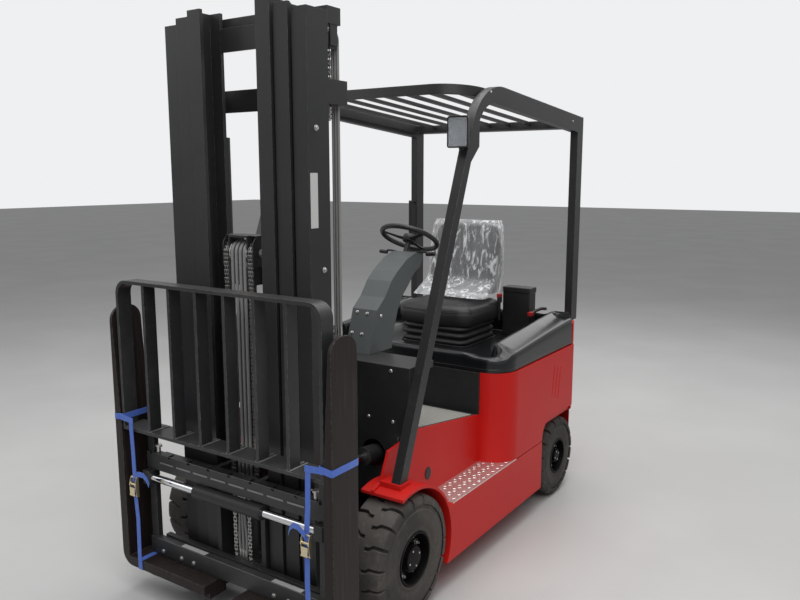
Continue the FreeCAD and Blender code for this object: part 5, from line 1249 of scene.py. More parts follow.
class MastFittings:
    """Anchors, bolts, bare labels and the free-lift head's fittings."""

    def build(self, palette: Palette) -> None:
        """Makes the small pieces of the mast."""
        self._anchors(palette)
        self._outer_bolts(palette)
        self._head(palette)
        self._label(palette)

    @staticmethod
    def _anchors(palette: Palette) -> None:
        """Threaded anchors with double nuts under the chains' rear ends."""
        outer, free = Builder(), Builder()
        rear = STAGE_RUN.y + STAGE_RUN.radius
        for _, side in SIDES:
            x = STAGE_CHAIN_X * side
            outer.rod((x, rear, 2.040), (x, rear, 2.105), 0.0062, 16)
            for z in (2.052, 2.068, 2.084):
                outer.rod((x, rear, z), (x, rear, z + 0.010), 0.0095, 6)
            x = FREE_CHAIN_X * side
            back = FREE_RUN.y + FREE_RUN.radius
            free.rod((x, back, 1.128), (x, back, 1.196), 0.0062, 16)
            for z in (1.136, 1.152):
                free.rod((x, back, z), (x, back, z + 0.010), 0.0095, 6)
        outer.finish("ChainAnchors", palette.get("ZincBolt"), "mast_outer", bevel=BOLT_EDGE)
        free.finish("FreeChainAnchors", palette.get("ZincBolt"), "mast_inner", bevel=BOLT_EDGE)

    @staticmethod
    def _outer_bolts(palette: Palette) -> None:
        """Bolts through the outer rails' webs, where the side rollers are shimmed."""
        bolts = Builder()
        for _, side in SIDES:
            outward = Vector((side, 0, 0))
            for y, z in ((-0.300, 2.004), (-0.285, 0.960), (-0.245, 0.960), (-0.265, 1.480)):
                bolts.bolt((0.372 * side, behind(y), z), outward, 0.0085, 0.008)
        bolts.finish("RailBolts", palette.get("ZincBolt"), "mast_outer", bevel=BOLT_EDGE)

    @staticmethod
    def _head(palette: Palette) -> None:
        """Cheek plates with their cover, pulley flanges and bolts of the free-lift head."""
        bolts, cheeks, plates = Builder(), Builder(), Builder()
        for _, side in SIDES:
            outward = Vector((side, 0, 0))
            bolts.bolt((0.084 * side, FREE_RUN.y, FREE_RUN.z), outward, 0.012, 0.010)
            bolts.dome((0.084 * side, FREE_RUN.y + 0.02, 1.425), outward, 0.006, 0.004)
            cheeks.lathe([(0.0425, 0.012), (0.0425, 0.0480), (0.0450, 0.0490), (0.0470, 0.0480),
                          (0.0470, 0.012),
                          (0.0425, 0.012)], (0, FREE_RUN.y, FREE_RUN.z), Axis.X, 48, side)
            cheek = [(FREE_RUN.y - 0.048, 1.478), (FREE_RUN.y + 0.044, 1.478)]
            cheek += [(FREE_RUN.y + 0.046 * math.cos(a) - 0.002, 1.556 + 0.045 * math.sin(a)) for a in
                      (math.pi * k / 12 for k in range(13))]
            plates.plate([(0.0795 * side, y, z) for y, z in cheek], Vector((0.0042 * side, 0, 0)))
        plates.box((-0.0836, FREE_RUN.y - 0.030, 1.5955), (0.0836, FREE_RUN.y + 0.030, 1.6000))
        plates.finish("HeadCheeks", palette.get("PlatePaint"), "crosshead", bevel=0.0008)
        bolts.finish("HeadBolts", palette.get("ZincBolt"), "crosshead", bevel=BOLT_EDGE)
        cheeks.finish("HoseCheeks", palette.get("Reflector"), "crosshead", weld=True)

    @staticmethod
    def _label(palette: Palette) -> None:
        """Bare label strips on the rails."""
        label = Builder()
        for _, side in SIDES:
            x0, x1 = sorted((0.3722 * side, 0.3728 * side))
            label.box((x0, behind(-0.338), 1.640), (x1, behind(-0.296), 1.842))
        label.finish("RailLabels", palette.get("BareLabel"), "mast_outer")


class LoadGuard:
    """Weld beads of the load guard, bolts and bare labels of the fork bars, and fork latches."""

    latch_y = behind(-0.424)
    latch_x = 0.445

    def build(self, palette: Palette, nodes: dict[str, bpy.types.Object]) -> None:
        """Makes the small pieces on the fork frame.

        Args:
            palette: the materials.
            nodes: the frame's nodes, read for where the guard's bars stand.
        """
        self._welds(palette, nodes["backrest"])
        self._bar_bolts(palette)
        self._labels(palette)
        self._latches(palette)

    @staticmethod
    def _upright_edges(guard: bpy.types.Object) -> list[float]:
        """Places along X of the guard's inner bars, from its own mesh at half height."""
        found: set[float] = set()
        low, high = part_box("backrest")
        middle = (low[2] + high[2]) / 2
        for edge in guard.data.edges:
            a, b = (guard.data.vertices[v].co for v in edge.vertices)
            if min(a.z, b.z) < middle < max(a.z,
                                            b.z) and abs(a.x - b.x) < 1e-4 and abs(a.x) < high[0] - 0.03:
                found.add(round(a.x, 3))
        return sorted(found)

    def _welds(self, palette: Palette, guard: bpy.types.Object) -> None:
        """Weld beads in the corners where each bar meets the guard's foot."""
        welds = Builder()
        low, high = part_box("backrest")
        foot = low[2] + 0.0145
        for number, x in enumerate(self._upright_edges(guard)):
            outward = -1 if number % 2 == 0 else 1
            points = []
            for step in range(15):
                y = low[1] + 0.004 + (high[1] - low[1] - 0.010) * step / 14
                lift = 0.0012 * math.sin(step * 2.1)
                points.append((x + outward * (0.0022 + lift * 0.4), y, foot + (0.0016 + lift * 0.3)))
            welds.tube(points, 0.0032, 8)
        welds.finish("GuardWelds", palette.get("WeldMetalAndEdgeHighlight"), "fork_frame")

    @staticmethod
    def _bar_bolts(palette: Palette) -> None:
        """Bolts along the lower fork bar."""
        bolts = Builder()
        front = behind(-0.4405)
        for x in (0.427, 0.308, 0.232):
            for _, side in SIDES:
                bolts.bolt((x * side, front, 0.190), FORWARD, 0.0075, 0.006)
        bolts.finish("ForkBarBolts", palette.get("ZincBolt"), "fork_frame", bevel=BOLT_EDGE)

    @staticmethod
    def _labels(palette: Palette) -> None:
        """Bare label strips on the lower fork bar's ledge, light grey pads along the upper bar, and painted
        highlight strips along both bars' top front edges.
        """
        labels, pads = Builder(), Builder()
        for x0, x1 in ((-0.312, -0.165), (0.216, 0.371)):
            labels.box((x0, behind(-0.437), 0.2438), (x1, behind(-0.413), 0.2445))
        labels.finish("BarLabels", palette.get("BareLabel"), "fork_frame")
        for number in range(8):
            x = -0.42 + 0.105 * number
            pads.box((x, behind(-0.4418), 0.5985), (x + 0.085, behind(-0.4395), 0.6055))
        # Thin light strips along both bars' top front edges: painted highlight.
        for z in (0.2425, 0.6385):
            pads.box((-0.46, behind(-0.4412), z), (0.46, behind(-0.4390), z + 0.0012))
        pads.finish("ForkBarPadsAndEdgeHighlights", palette.get("WeldMetalAndEdgeHighlight"), "fork_frame", bevel=0.0004)

    def _latches(self, palette: Palette) -> None:
        """Spring latches that hold the fork hooks in the upper bar's notches."""
        latches = Builder()
        for _, side in SIDES:
            x, y = self.latch_x * side, self.latch_y
            latches.rod((x, y, 0.640), (x, y, 0.668), 0.009, 18)
            latches.rod((x, y, 0.668), (x, y, 0.676), 0.014, 18)
            latches.rod((x - 0.022, y, 0.672), (x + 0.022, y, 0.672), 0.004, 10)
        latches.finish("ForkLatches", palette.get("ZincBolt"), "fork_frame", bevel=0.001)


class TieDowns:
    """Blue ratchet straps that hold the stowed forks to the load guard."""

    width = 0.026
    thick = 0.0022
    gap = 0.0016
    corner = 0.004
    blade_front = behind(-0.520)
    blade_back = behind(-0.370)
    blade_x = (0.5595, 0.6015)
    post_x = 0.545
    web_x = 0.4845
    strap_z = 0.8035
    fork_low = 0.1225

    def build(self, palette: Palette) -> None:
        """Makes the webbing and the ratchets."""
        webbing = palette.webbing(Weave("BlueWebbing", (0.085, 0.205, 0.80)))
        straps, brass = Builder(), Builder()
        for _, side in SIDES:
            self._upper(straps, side)
            self._lower(straps, side)
            self._web(straps, side)
            self._ratchet(brass, side)
        piece = straps.finish("Webbing", webbing, "fork_frame", "strap_blue", bevel=0.0004)
        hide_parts("straps")
        brass.finish("Ratchets", palette.get("Brass"), "fork_frame", bevel=0.0012)

    def _upper(self, builder: Builder, side: int) -> None:
        """Band round the blade and the guard's post, twisted a little where it crosses to the web."""
        gap, corner = self.gap, self.corner
        x0, x1 = self.post_x - gap, self.blade_x[1] + gap
        y0, y1 = self.blade_front - gap, self.blade_back + gap
        path = []
        for cx, cy, start in ((x1 - corner, y0 + corner, -90), (x1 - corner, y1 - corner, 0),
                              (x0 + corner, y1 - corner, 90), (x0 + corner, y0 + corner, 180)):
            for cosine, sine in quarter(start, 3):
                path.append(Vector(((cx + corner * cosine) * side, cy + corner * sine,
                                    self.strap_z + (0.006 if cx < x1 - 0.02 else 0.0))))
        path.append(path[0])
        builder.ribbon(path, Vector((0, 0, self.width)), self.thick)

    def _lower(self, builder: Builder, side: int) -> None:
        """Band round the shank under the lower fork bar."""
        gap, corner = self.gap, self.corner
        z0, z1 = self.fork_low - gap, self.fork_low + 0.042 + gap
        y0, y1 = self.blade_front - gap, self.blade_back + gap
        path = []
        for cy, cz, start in ((y1 - corner, z1 - corner, 0), (y0 + corner, z1 - corner, 90),
                              (y0 + corner, z0 + corner, 180), (y1 - corner, z0 + corner, 270)):
            for cosine, sine in quarter(start, 3):
                path.append(Vector((self.web_x * side, cy + corner * cosine, cz + corner * sine)))
        path.append(path[0])
        builder.ribbon(path, Vector((self.width, 0, 0)), self.thick)

    def _web(self, builder: Builder, side: int) -> None:
        """Long web from the upper band down to the lower one, and the loose tail."""
        front = self.blade_front - 0.0026
        x = self.web_x * side
        lean = 0.010 * side
        path = [
            (x + lean, front, self.strap_z + 0.010), (x + lean * 0.8, front - 0.001, 0.76),
            (x + lean * 0.5, front, 0.66),
            (x, front - 0.003, 0.556), (x, front - 0.003, 0.46), (x - lean * 0.4, front, 0.36),
            (x, front, 0.18),
            (x, front, self.fork_low + 0.040),
        ]
        builder.ribbon(path, Vector((self.width * 0.92, 0, 0)), self.thick)
        tie = [(x - 0.006 * side, front - 0.0012, self.strap_z - 0.004),
               (x + 0.03 * side, front - 0.0012, self.strap_z),
               (self.post_x * side, front, self.strap_z + 0.002),
               (self.blade_x[0] * side, front + 0.0004, self.strap_z)]
        builder.ribbon(tie, Vector((0, 0, self.width * 0.95)), self.thick)
        tail = [(x, front - 0.012, 0.545), (x - 0.010 * side, front - 0.015, 0.562),
                (x - 0.034 * side, front - 0.012, 0.574),
                (x - 0.062 * side, front - 0.006, 0.572), (x - 0.080 * side, front - 0.003, 0.556),
                (x - 0.090 * side, front - 0.001, 0.532)]
        builder.ribbon(tail, Vector((0.004, 0, self.width * 0.9)), self.thick)

    def _ratchet(self, builder: Builder, side: int) -> None:
        """Ratchet buckle: two side plates, spindle with its toothed wheels, and the handle."""
        front = self.blade_front - self.gap
        x = self.web_x * side
        for offset in (-0.0185, 0.0185):
            plate = [(x + offset, front, 0.462), (x + offset, front - 0.013, 0.466),
                     (x + offset, front - 0.018, 0.500),
                     (x + offset, front - 0.018, 0.536), (x + offset, front - 0.010, 0.554),
                     (x + offset, front, 0.556)]
            builder.plate(plate, Vector((0.0022, 0, 0)))
            builder.rod((x + offset * 1.05, front - 0.010, 0.520),
                        (x + offset * 0.82, front - 0.010, 0.520), 0.0105, 16)
        builder.rod((x - 0.021, front - 0.010, 0.520), (x + 0.021, front - 0.010, 0.520), 0.005, 14)
        for z in (0.468, 0.550):
            builder.rod((x - 0.020, front - 0.006, z), (x + 0.020, front - 0.006, z), 0.0035, 12)
        handle = [(x - 0.017, front - 0.0185, 0.508), (x + 0.017, front - 0.0185, 0.508),
                  (x + 0.014, front - 0.0195, 0.472), (x - 0.014, front - 0.0195, 0.472)]
        builder.plate(handle, Vector((0, -0.0018, 0)))
        builder.rod((x - 0.0165, front - 0.0180, 0.474), (x + 0.0165, front - 0.0180, 0.474), 0.0042, 12)


@dataclass(frozen=True)
class HoodRow:
    """One row of the hood's section: shares of its width and height, and metres below the arm's crest."""

    depth: float
    rise: float
    arm_depth: float
    arm_rise: float
    drop: float


class BatteryHood:
    """Moulded hood: a rounded rim that sweeps up into an arm on each side of the seat."""

    half = 0.608
    front = behind(0.815)
    back = behind(1.709)
    corner = 0.136
    low = 0.8635
    floor = 0.8975
    front_rim = 0.950
    corner_dip = 0.014
    front_width = 0.062
    arm_width = 0.150
    tail_saving = 0.03
    lip_height = 0.880
    hinge_room = (0.178, 0.264)
    rear_low = 0.972
    rear_high = 1.030
    outer_rows = 10
    hinge_x = 0.2385
    # Columns: distance behind the axle, height of the arm's crest
    arm_line = ((0.815, 0.944), (0.850, 0.956), (0.880, 0.970), (0.908, 0.984), (0.960, 0.994),
                (1.100, 1.006),
                (1.392, 1.032), (1.600, 1.046), (1.709, 1.050))
    # Columns: depth and rise on the front rim, depth, rise and drop on the arms
    section = tuple(HoodRow(*row) for row in (
        (0.22, 0.0, 0.22, 0.0, 0.0), (0.03, 0.0, 0.03, 0.0, 0.0), (0.0, 0.02, 0.0, 0.02, 0.0),
        (0.0, 0.06, 0.0, 0.06, 0.040), (0.01, 0.34, 0.004, 0.34, 0.040), (0.03, 0.62, 0.008, 0.66, 0.040),
        (0.055, 0.80, 0.014, 0.88, 0.040), (0.11, 0.915, 0.030, 0.975, 0.040),
        (0.20, 0.972, 0.060, 1.0, 0.0385),
        (0.33, 0.995, 0.12, 1.0, 0.034), (0.52, 1.0, 0.40, 1.0, 0.016), (0.70, 0.985, 0.66, 1.0, 0.003),
        (0.83, 0.93, 0.76, 1.0, 0.0), (0.91, 0.80, 0.84, 0.97, 0.004), (0.955, 0.58, 0.895, 0.72, 0.004),
        (0.985, 0.25, 0.945, 0.30, 0.0), (1.06, 0.04, 1.0, 0.05, 0.0), (1.16, 0.0, 1.10, 0.0, 0.0),
        (1.40, 0.0, 1.40, 0.0, 0.0),
    ))

    def build(self, palette: Palette) -> None:
        """Makes the hood's shell with its inner well."""
        ring = filled_ring(rounded_ring(self.half, self.front, self.back, self.corner, 24, 0.022), 0.012)
        rings = [[self._point(place, inward, row, number < self.outer_rows) for place, inward in ring]
                 for number, row in enumerate(self.section)]
        builder = Builder()
        loft(builder, rings)
        hood = builder.finish("BatteryHood", palette.get("HoodPlastic"), "hood", "hood_plastic", smooth=60,
                              weld=True)
        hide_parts("hood")
        lip = Builder()
        path = [place + Vector((0, 0, self.lip_height - place.z)) for place,
                _ in ring if place.y < self.back - 0.02]
        turn = max(range(len(path)), key=lambda k: (path[k] - path[k - 1]).length)
        lip.tube(path[turn:] + path[:turn], 0.0026, 8)
        lip.finish("HoodLip", palette.get("HoodPlastic"), "hood")
        self._hinges(palette)

    def _opening(self, x: float) -> float:
        """Share of the back rim's full height, low only where the counterweight's ears reach in."""
        low, high = self.hinge_room
        return max(1 - eased(low - 0.022, low, abs(x)), eased(high, high + 0.026, abs(x)))

    def _height(self, place: Vector, arm: float) -> float:
        """Height of the rim's crest at a place on the hood's outline."""
        rim = self.front_rim - self.corner_dip * eased(0.36, 0.46, abs(place.x))
        top = rim + (between(self.arm_line, place.y - FRONT_AXLE_Y) - rim) * arm
        rear = eased(self.back - 0.10, self.back - 0.04, place.y) * (1 - eased(0.40, 0.50, abs(place.x)))
        wall = self.rear_low + (self.rear_high - self.rear_low) * self._opening(place.x)
        return top + (wall - top) * rear

    def _point(self, place: Vector, inward: Vector, row: HoodRow, outer: bool) -> Vector:
        """Point of the rim's section.

        Args:
            place: on the hood's outline.
            inward: into the hood.
            row: the section's row, for the front rim and for the arms.
            outer: whether the row stands on the hood's lower edge or on the well's floor.

        Returns:
            The point.
        """
        near = eased(self.front, self.front + 0.10, place.y)
        beside = near * eased(0.30, 0.50, abs(place.x))
        side = eased(0.34, 0.56, abs(place.x)) * eased(self.front, self.front + 0.12, place.y)
        widening = self.arm_width - self.front_width
        if place.y > self.back - self.corner:
            facing = eased(0.2, 0.9, abs(inward.x))
            side *= facing
            width = self.front_width - self.tail_saving * (1 - facing) + widening * side
        else:
            width = self.front_width + widening * side
        depth = row.depth + (row.arm_depth - row.depth) * beside
        rise = row.rise + (row.arm_rise - row.rise) * beside
        foot = self.low if outer else self.floor
        top = self._height(place, beside) - row.drop * beside
        spot = place + inward * (width * depth)
        return Vector((spot.x, min(spot.y, self.back - 0.0005), foot + (top - foot) * rise))

    def _hinges(self, palette: Palette) -> None:
        """Hinge leaves at the hood's back edge."""
        leaves = Builder()
        for _, side in SIDES:
            x = self.hinge_x * side
            leaves.rod((x - 0.0170, behind(1.697), 1.0), (x + 0.0170, behind(1.697), 1.0), 0.0115, 20)
            leaves.box((x - 0.0165, behind(1.6915), 0.960), (x + 0.0165, behind(1.7025), 0.992))
        leaves.finish("HoodHinges", palette.get("PlatePaint"), "hood", bevel=0.001)


class Seat:
    """Suspension seat: bellows, crowned cushion, backrest in its clear bag, belt buckle."""

    cushion_low = 1.0040
    cushion_top = 1.1415
    bellows_low = 0.8972
    bellows_top = 1.0100
    back_low = 1.1455
    back_top = 1.560
    bag_low = 1.147
    bag_top = 1.5735
    bag_half = 0.2395
    bag_width = 0.66
    skirt_share = 0.24
    skirt_reach = 0.150

    def build(self, palette: Palette) -> None:
        """Makes the seat's pieces."""
        self._bellows(palette)
        self._cushion(palette)
        self._backrest(palette)
        self._bag(palette)
        self._buckle(palette)

    def _bellows(self, palette: Palette) -> None:
        """Folded rubber skirt between the hood and the cushion."""
        builder = Builder()
        rings = []
        folds = 3
        steps = folds * 6
        for step in range(steps + 1):
            share = step / steps
            wave = abs(math.sin(math.pi * folds * share))
            inset = 0.004 + 0.020 * (1 - wave ** 0.75)
            z = self.bellows_low + (self.bellows_top - self.bellows_low) * share
            ring = rounded_ring(0.215 - inset, behind(1.110) + inset, behind(1.520) - inset, 0.060, 6)
            rings.append(level(ring, z))
        loft(builder, rings)
        skirt = builder.finish("SeatBellows", palette.get("Bellows"), "hood", "bellows", smooth=50)
        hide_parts("seat_base")
        rail = Builder()
        path = level(rounded_ring(0.2140, behind(1.1115), behind(1.5185), 0.05, 6), 0.9010)
        rail.tube(path + path[:1], 0.0035, 8)
        rail.finish("BellowsHem", palette.get("BlackPlastic"), "hood")

    def _cushion(self, palette: Palette) -> None:
        """Vinyl cushion, bowed in front, crowned on top and pulled in at its welt."""
        builder = Builder()
        # Columns: share of the height, how far the outline draws in
        rows = ((0.0, 0.030), (0.02, 0.016), (0.10, 0.006), (0.24, 0.001), (0.40, 0.0), (0.56, 0.001),
                (0.62, 0.005), (0.645, 0.007), (0.67, 0.004), (0.78, 0.010), (0.88, 0.024), (0.95, 0.048))
        rings = [[self._cushion_point(p, n, share, inset) for p, n in self._plan()] for share,
                 inset in rows]
        verts = builder.faces([p for ring in rings for p in ring], len(rings), len(rings[0]))
        count = len(rings[0])
        builder.cap(verts[:count][::-1])
        self._crown_top(builder, verts[-count:])
        cushion = builder.finish("SeatCushion", palette.get("Vinyl"), "hood", "seat_vinyl", smooth=60,
                                 subdivide=1)
        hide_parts("seat_cushion")
        welt = Builder()
        path = [self._cushion_point(p, n, 0.645, 0.0045) for p, n in self._plan()]
        welt.tube(path + path[:1], 0.0028, 8)
        welt.finish("CushionWelt", palette.get("Vinyl"), "hood")

    @staticmethod
    def _plan() -> list[tuple[Vector, Vector]]:
        """Outline of the cushion in plan."""
        return filled_ring(rounded_ring(0.2385, behind(1.0915), behind(1.5385), 0.085, 8, 0.05), 0.03)

    def _cushion_point(self, place: Vector, inward: Vector, share: float, inset: float) -> Vector:
        """Point of the cushion's side, bowed at the front."""
        bow = 0.022 * (1 - eased(0.0, 0.24, 0.24 - abs(place.x))) * (1 - eased(behind(1.10), behind(1.18),
                                                                               place.y))
        spot = place + inward * (inset + 0.0008)
        height = self.cushion_low + (self.cushion_top - 0.010 - self.cushion_low) * share
        return Vector((spot.x, spot.y + bow, height))

    def _crown_top(self, builder: Builder, edge: Sequence[bmesh.types.BMVert]) -> None:
        """Fills the cushion's top with rings that rise to a crown and dip along two sewn channels."""
        middle = Vector((0, behind(1.315), self.cushion_top - 0.006))
        last = list(edge)
        for share in (0.88, 0.74, 0.58, 0.40, 0.22):
            ring = []
            for vert in edge:
                flat = middle.lerp(vert.co, share)
                rise = 0.0055 * (1 - share ** 2) + 0.0015
                channel = 0.006 * math.exp(-((abs(flat.x) - 0.145) / 0.010) ** 2)
                hollow = math.exp(-((flat.y - middle.y - 0.02) / 0.14) ** 2)
                dip = 0.010 * hollow * math.exp(-(flat.x / 0.12) ** 2)
                height = vert.co.z + (self.cushion_top - 0.0015 - vert.co.z) * (1 - share ** 3) + rise * 0.2
                ring.append(builder.bm.verts.new((flat.x, flat.y,
                                                  min(height, self.cushion_top - 0.0008) - channel - dip)))
            for number in range(len(ring)):
                following = (number + 1) % len(ring)
                builder.bm.faces.new((last[number], last[following], ring[following], ring[number]))
            last = ring
        builder.cap(last)

    def _backrest(self, palette: Palette) -> None:
        """Vinyl backrest, leaning back, with a bolster on each side."""
        builder = Builder()
        rings = []
        # Columns: share of the height, half width, front and back along Y behind the axle
        rows = ((0.0, 0.200, 1.452, 1.530), (0.03, 0.214, 1.444, 1.542), (0.15, 0.226, 1.440, 1.556),
                (0.40, 0.228, 1.458, 1.570), (0.70, 0.222, 1.482, 1.580), (0.88, 0.206, 1.500, 1.584),
                (0.965, 0.182, 1.512, 1.580), (0.995, 0.150, 1.526, 1.572))
        for share, half, front, back in rows:
            z = self.back_low + (self.back_top - self.back_low) * share
            ring = filled_ring(rounded_ring(half, behind(front), behind(back),
                                            min(0.032, (back - front) * 0.42), 5), 0.03)
            rings.append([Vector((p.x, p.y + self._bolster(p, front), z)) for p, _ in ring])
        count = min(len(r) for r in rings)
        rings = [self._resampled(r, count) for r in rings]
        loft(builder, rings)
        back = builder.finish("SeatBack", palette.get("Vinyl"), "hood", "seat_vinyl", smooth=60,
                              subdivide=1)
        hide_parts("seat_back")

    @staticmethod
    def _bolster(place: Vector, front: float) -> float:
        """Hollow between the bolsters on the front face."""
        near = 1 - eased(behind(front), behind(front) + 0.03, place.y)
        return 0.016 * near * (1 - eased(0.10, 0.19, abs(place.x)))

    @staticmethod
    def _resampled(ring: Sequence[Vector], count: int) -> list[Vector]:
        """The same closed ring with that many evenly spaced points."""
        closed = list(ring) + [ring[0]]
        lengths = [0.0]
        for a, b in zip(closed, closed[1:]):
            lengths.append(lengths[-1] + (b - a).length)
        out = []
        cursor = 0
        for number in range(count):
            goal = lengths[-1] * number / count
            while lengths[cursor + 1] < goal:
                cursor += 1
            step = lengths[cursor + 1] - lengths[cursor]
            out.append(closed[cursor].lerp(closed[cursor + 1], (goal - lengths[cursor]) / max(step, 1e-9)))
        return out

    def _bag(self, palette: Palette) -> None:
        """Clear wrinkled bag pulled over the backrest, its mouth gathered on the cushion."""
        builder = Builder()
        rings = []
        rows = 44
        for row in range(rows + 1):
            share = row / rows
            z = self.bag_low + (self.bag_top - self.bag_low) * share
            half = self.bag_half - 0.001 - 0.004 * share - 0.10 * max(0.0,
                                                                      share - 0.86) ** 1.2 / 0.14 ** 0.2
            lean = 0.062 * share
            skirt = max(0.0, 1 - share / self.skirt_share)
            front = 1.426 + lean - 0.006 * (1 - share) - self.skirt_reach * skirt ** 1.6
            back = 1.560 + 0.030 * share
            shrink = 1 - 0.55 * eased(0.93, 1.0, share)
            middle = (front + back) / 2
            depth = (back - front) / 2 * shrink
            ring = filled_ring(rounded_ring(half, behind(middle - depth), behind(middle + depth),
                                            min(0.035, depth * 0.9), 6), 0.010)
            rings.append(level(ring, z))
        count = 150
        rings = [self._resampled(r, count) for r in rings]
        for row, ring in enumerate(rings):
            for number, point in enumerate(ring):
                ring[number] = self._wrinkled(point, row / rows)
        loft(builder, rings, False, True)
        bag = builder.finish("SeatBag", palette.film(Film("ClearFilm")), "hood", smooth=180)

    def _wrinkled(self, point: Vector, share: float) -> Vector:
        """Moves a point of the bag in and out along folds that run down and across it."""
        slow = noise.noise(Vector((point.x * 7.0 + point.z * 3.0, point.y * 9.0, point.z * 5.0)))
        folds = noise.noise(Vector((point.x * 26.0 + point.z * 6.0, point.y * 21.0, point.z * 3.5)))
        crumple = noise.noise(Vector((point.x * 52.0, point.y * 50.0, point.z * 46.0)))
        amount = 0.008 * slow - 0.012 * abs(folds) - 0.005 * abs(crumple)
        centre = Vector((0, behind(1.515), point.z))
        out = point - centre
        out.z = 0
        out.normalize()
        spot = point + out * amount
        spot.z = min(spot.z + 0.004 * slow * (1 - share), self.bag_top)
        spot.x = max(min(spot.x, self.bag_half), -self.bag_half)
        return spot

    @staticmethod
    def _buckle(palette: Palette) -> None:
        """Red belt buckle on its stalk, the retractor behind, and the hood's red latch with its lever."""
        stalk, red = Builder(), Builder()
        x, y = 0.2470, behind(1.470)
        stalk.box((x - 0.004, y - 0.010, 1.000), (x + 0.004, y + 0.012, 1.110))
        stalk.box((x - 0.009, y - 0.016, 1.105), (x + 0.009, y + 0.018, 1.142))
        stalk.box((-0.262, behind(1.440), 0.960), (-0.222, behind(1.520), 1.046))
        red.box((x - 0.0090, y - 0.020, 1.1385), (x + 0.0090, y + 0.018, 1.1580))
        latch = Vector((0.422, behind(1.523), 1.050))
        red.box(latch - Vector((0.012, 0.022, 0.012)), latch + Vector((0.012, 0.016, 0.010)))
        stalk.tube([latch + Vector(step) for step in ((0, 0.010, 0), (0.006, 0.050, 0.010),
                                                      (0.016, 0.110, 0.016),
                                                      (0.022, 0.160, 0.008))], 0.0095, 12)
        stalk.finish("BeltStalk", palette.get("BlackPlastic"), "hood", bevel=0.003)
        red.finish("BeltButton", palette.get("RedPlastic"), "hood", bevel=0.002)


class ToolBox:
    """Black box on the hood behind the seat, with its lid."""

    def build(self, palette: Palette) -> None:
        """Makes the box."""
        builder = Builder()
        low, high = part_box("tool_box")
        gap = 0.0006
        builder.box((low[0] + 0.004, low[1] + 0.004, low[2] + gap),
                    (high[0] - 0.004, high[1] - 0.004, high[2] - 0.030))
        builder.box((low[0] + gap, low[1] + gap, high[2] - 0.034),
                    (high[0] - gap, high[1] - gap, high[2] - gap))
        box = builder.finish("ToolBox", palette.get("BlackPlastic"), "hood", "hood_plastic", bevel=0.006,
                             segments=3)
        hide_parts("tool_box")


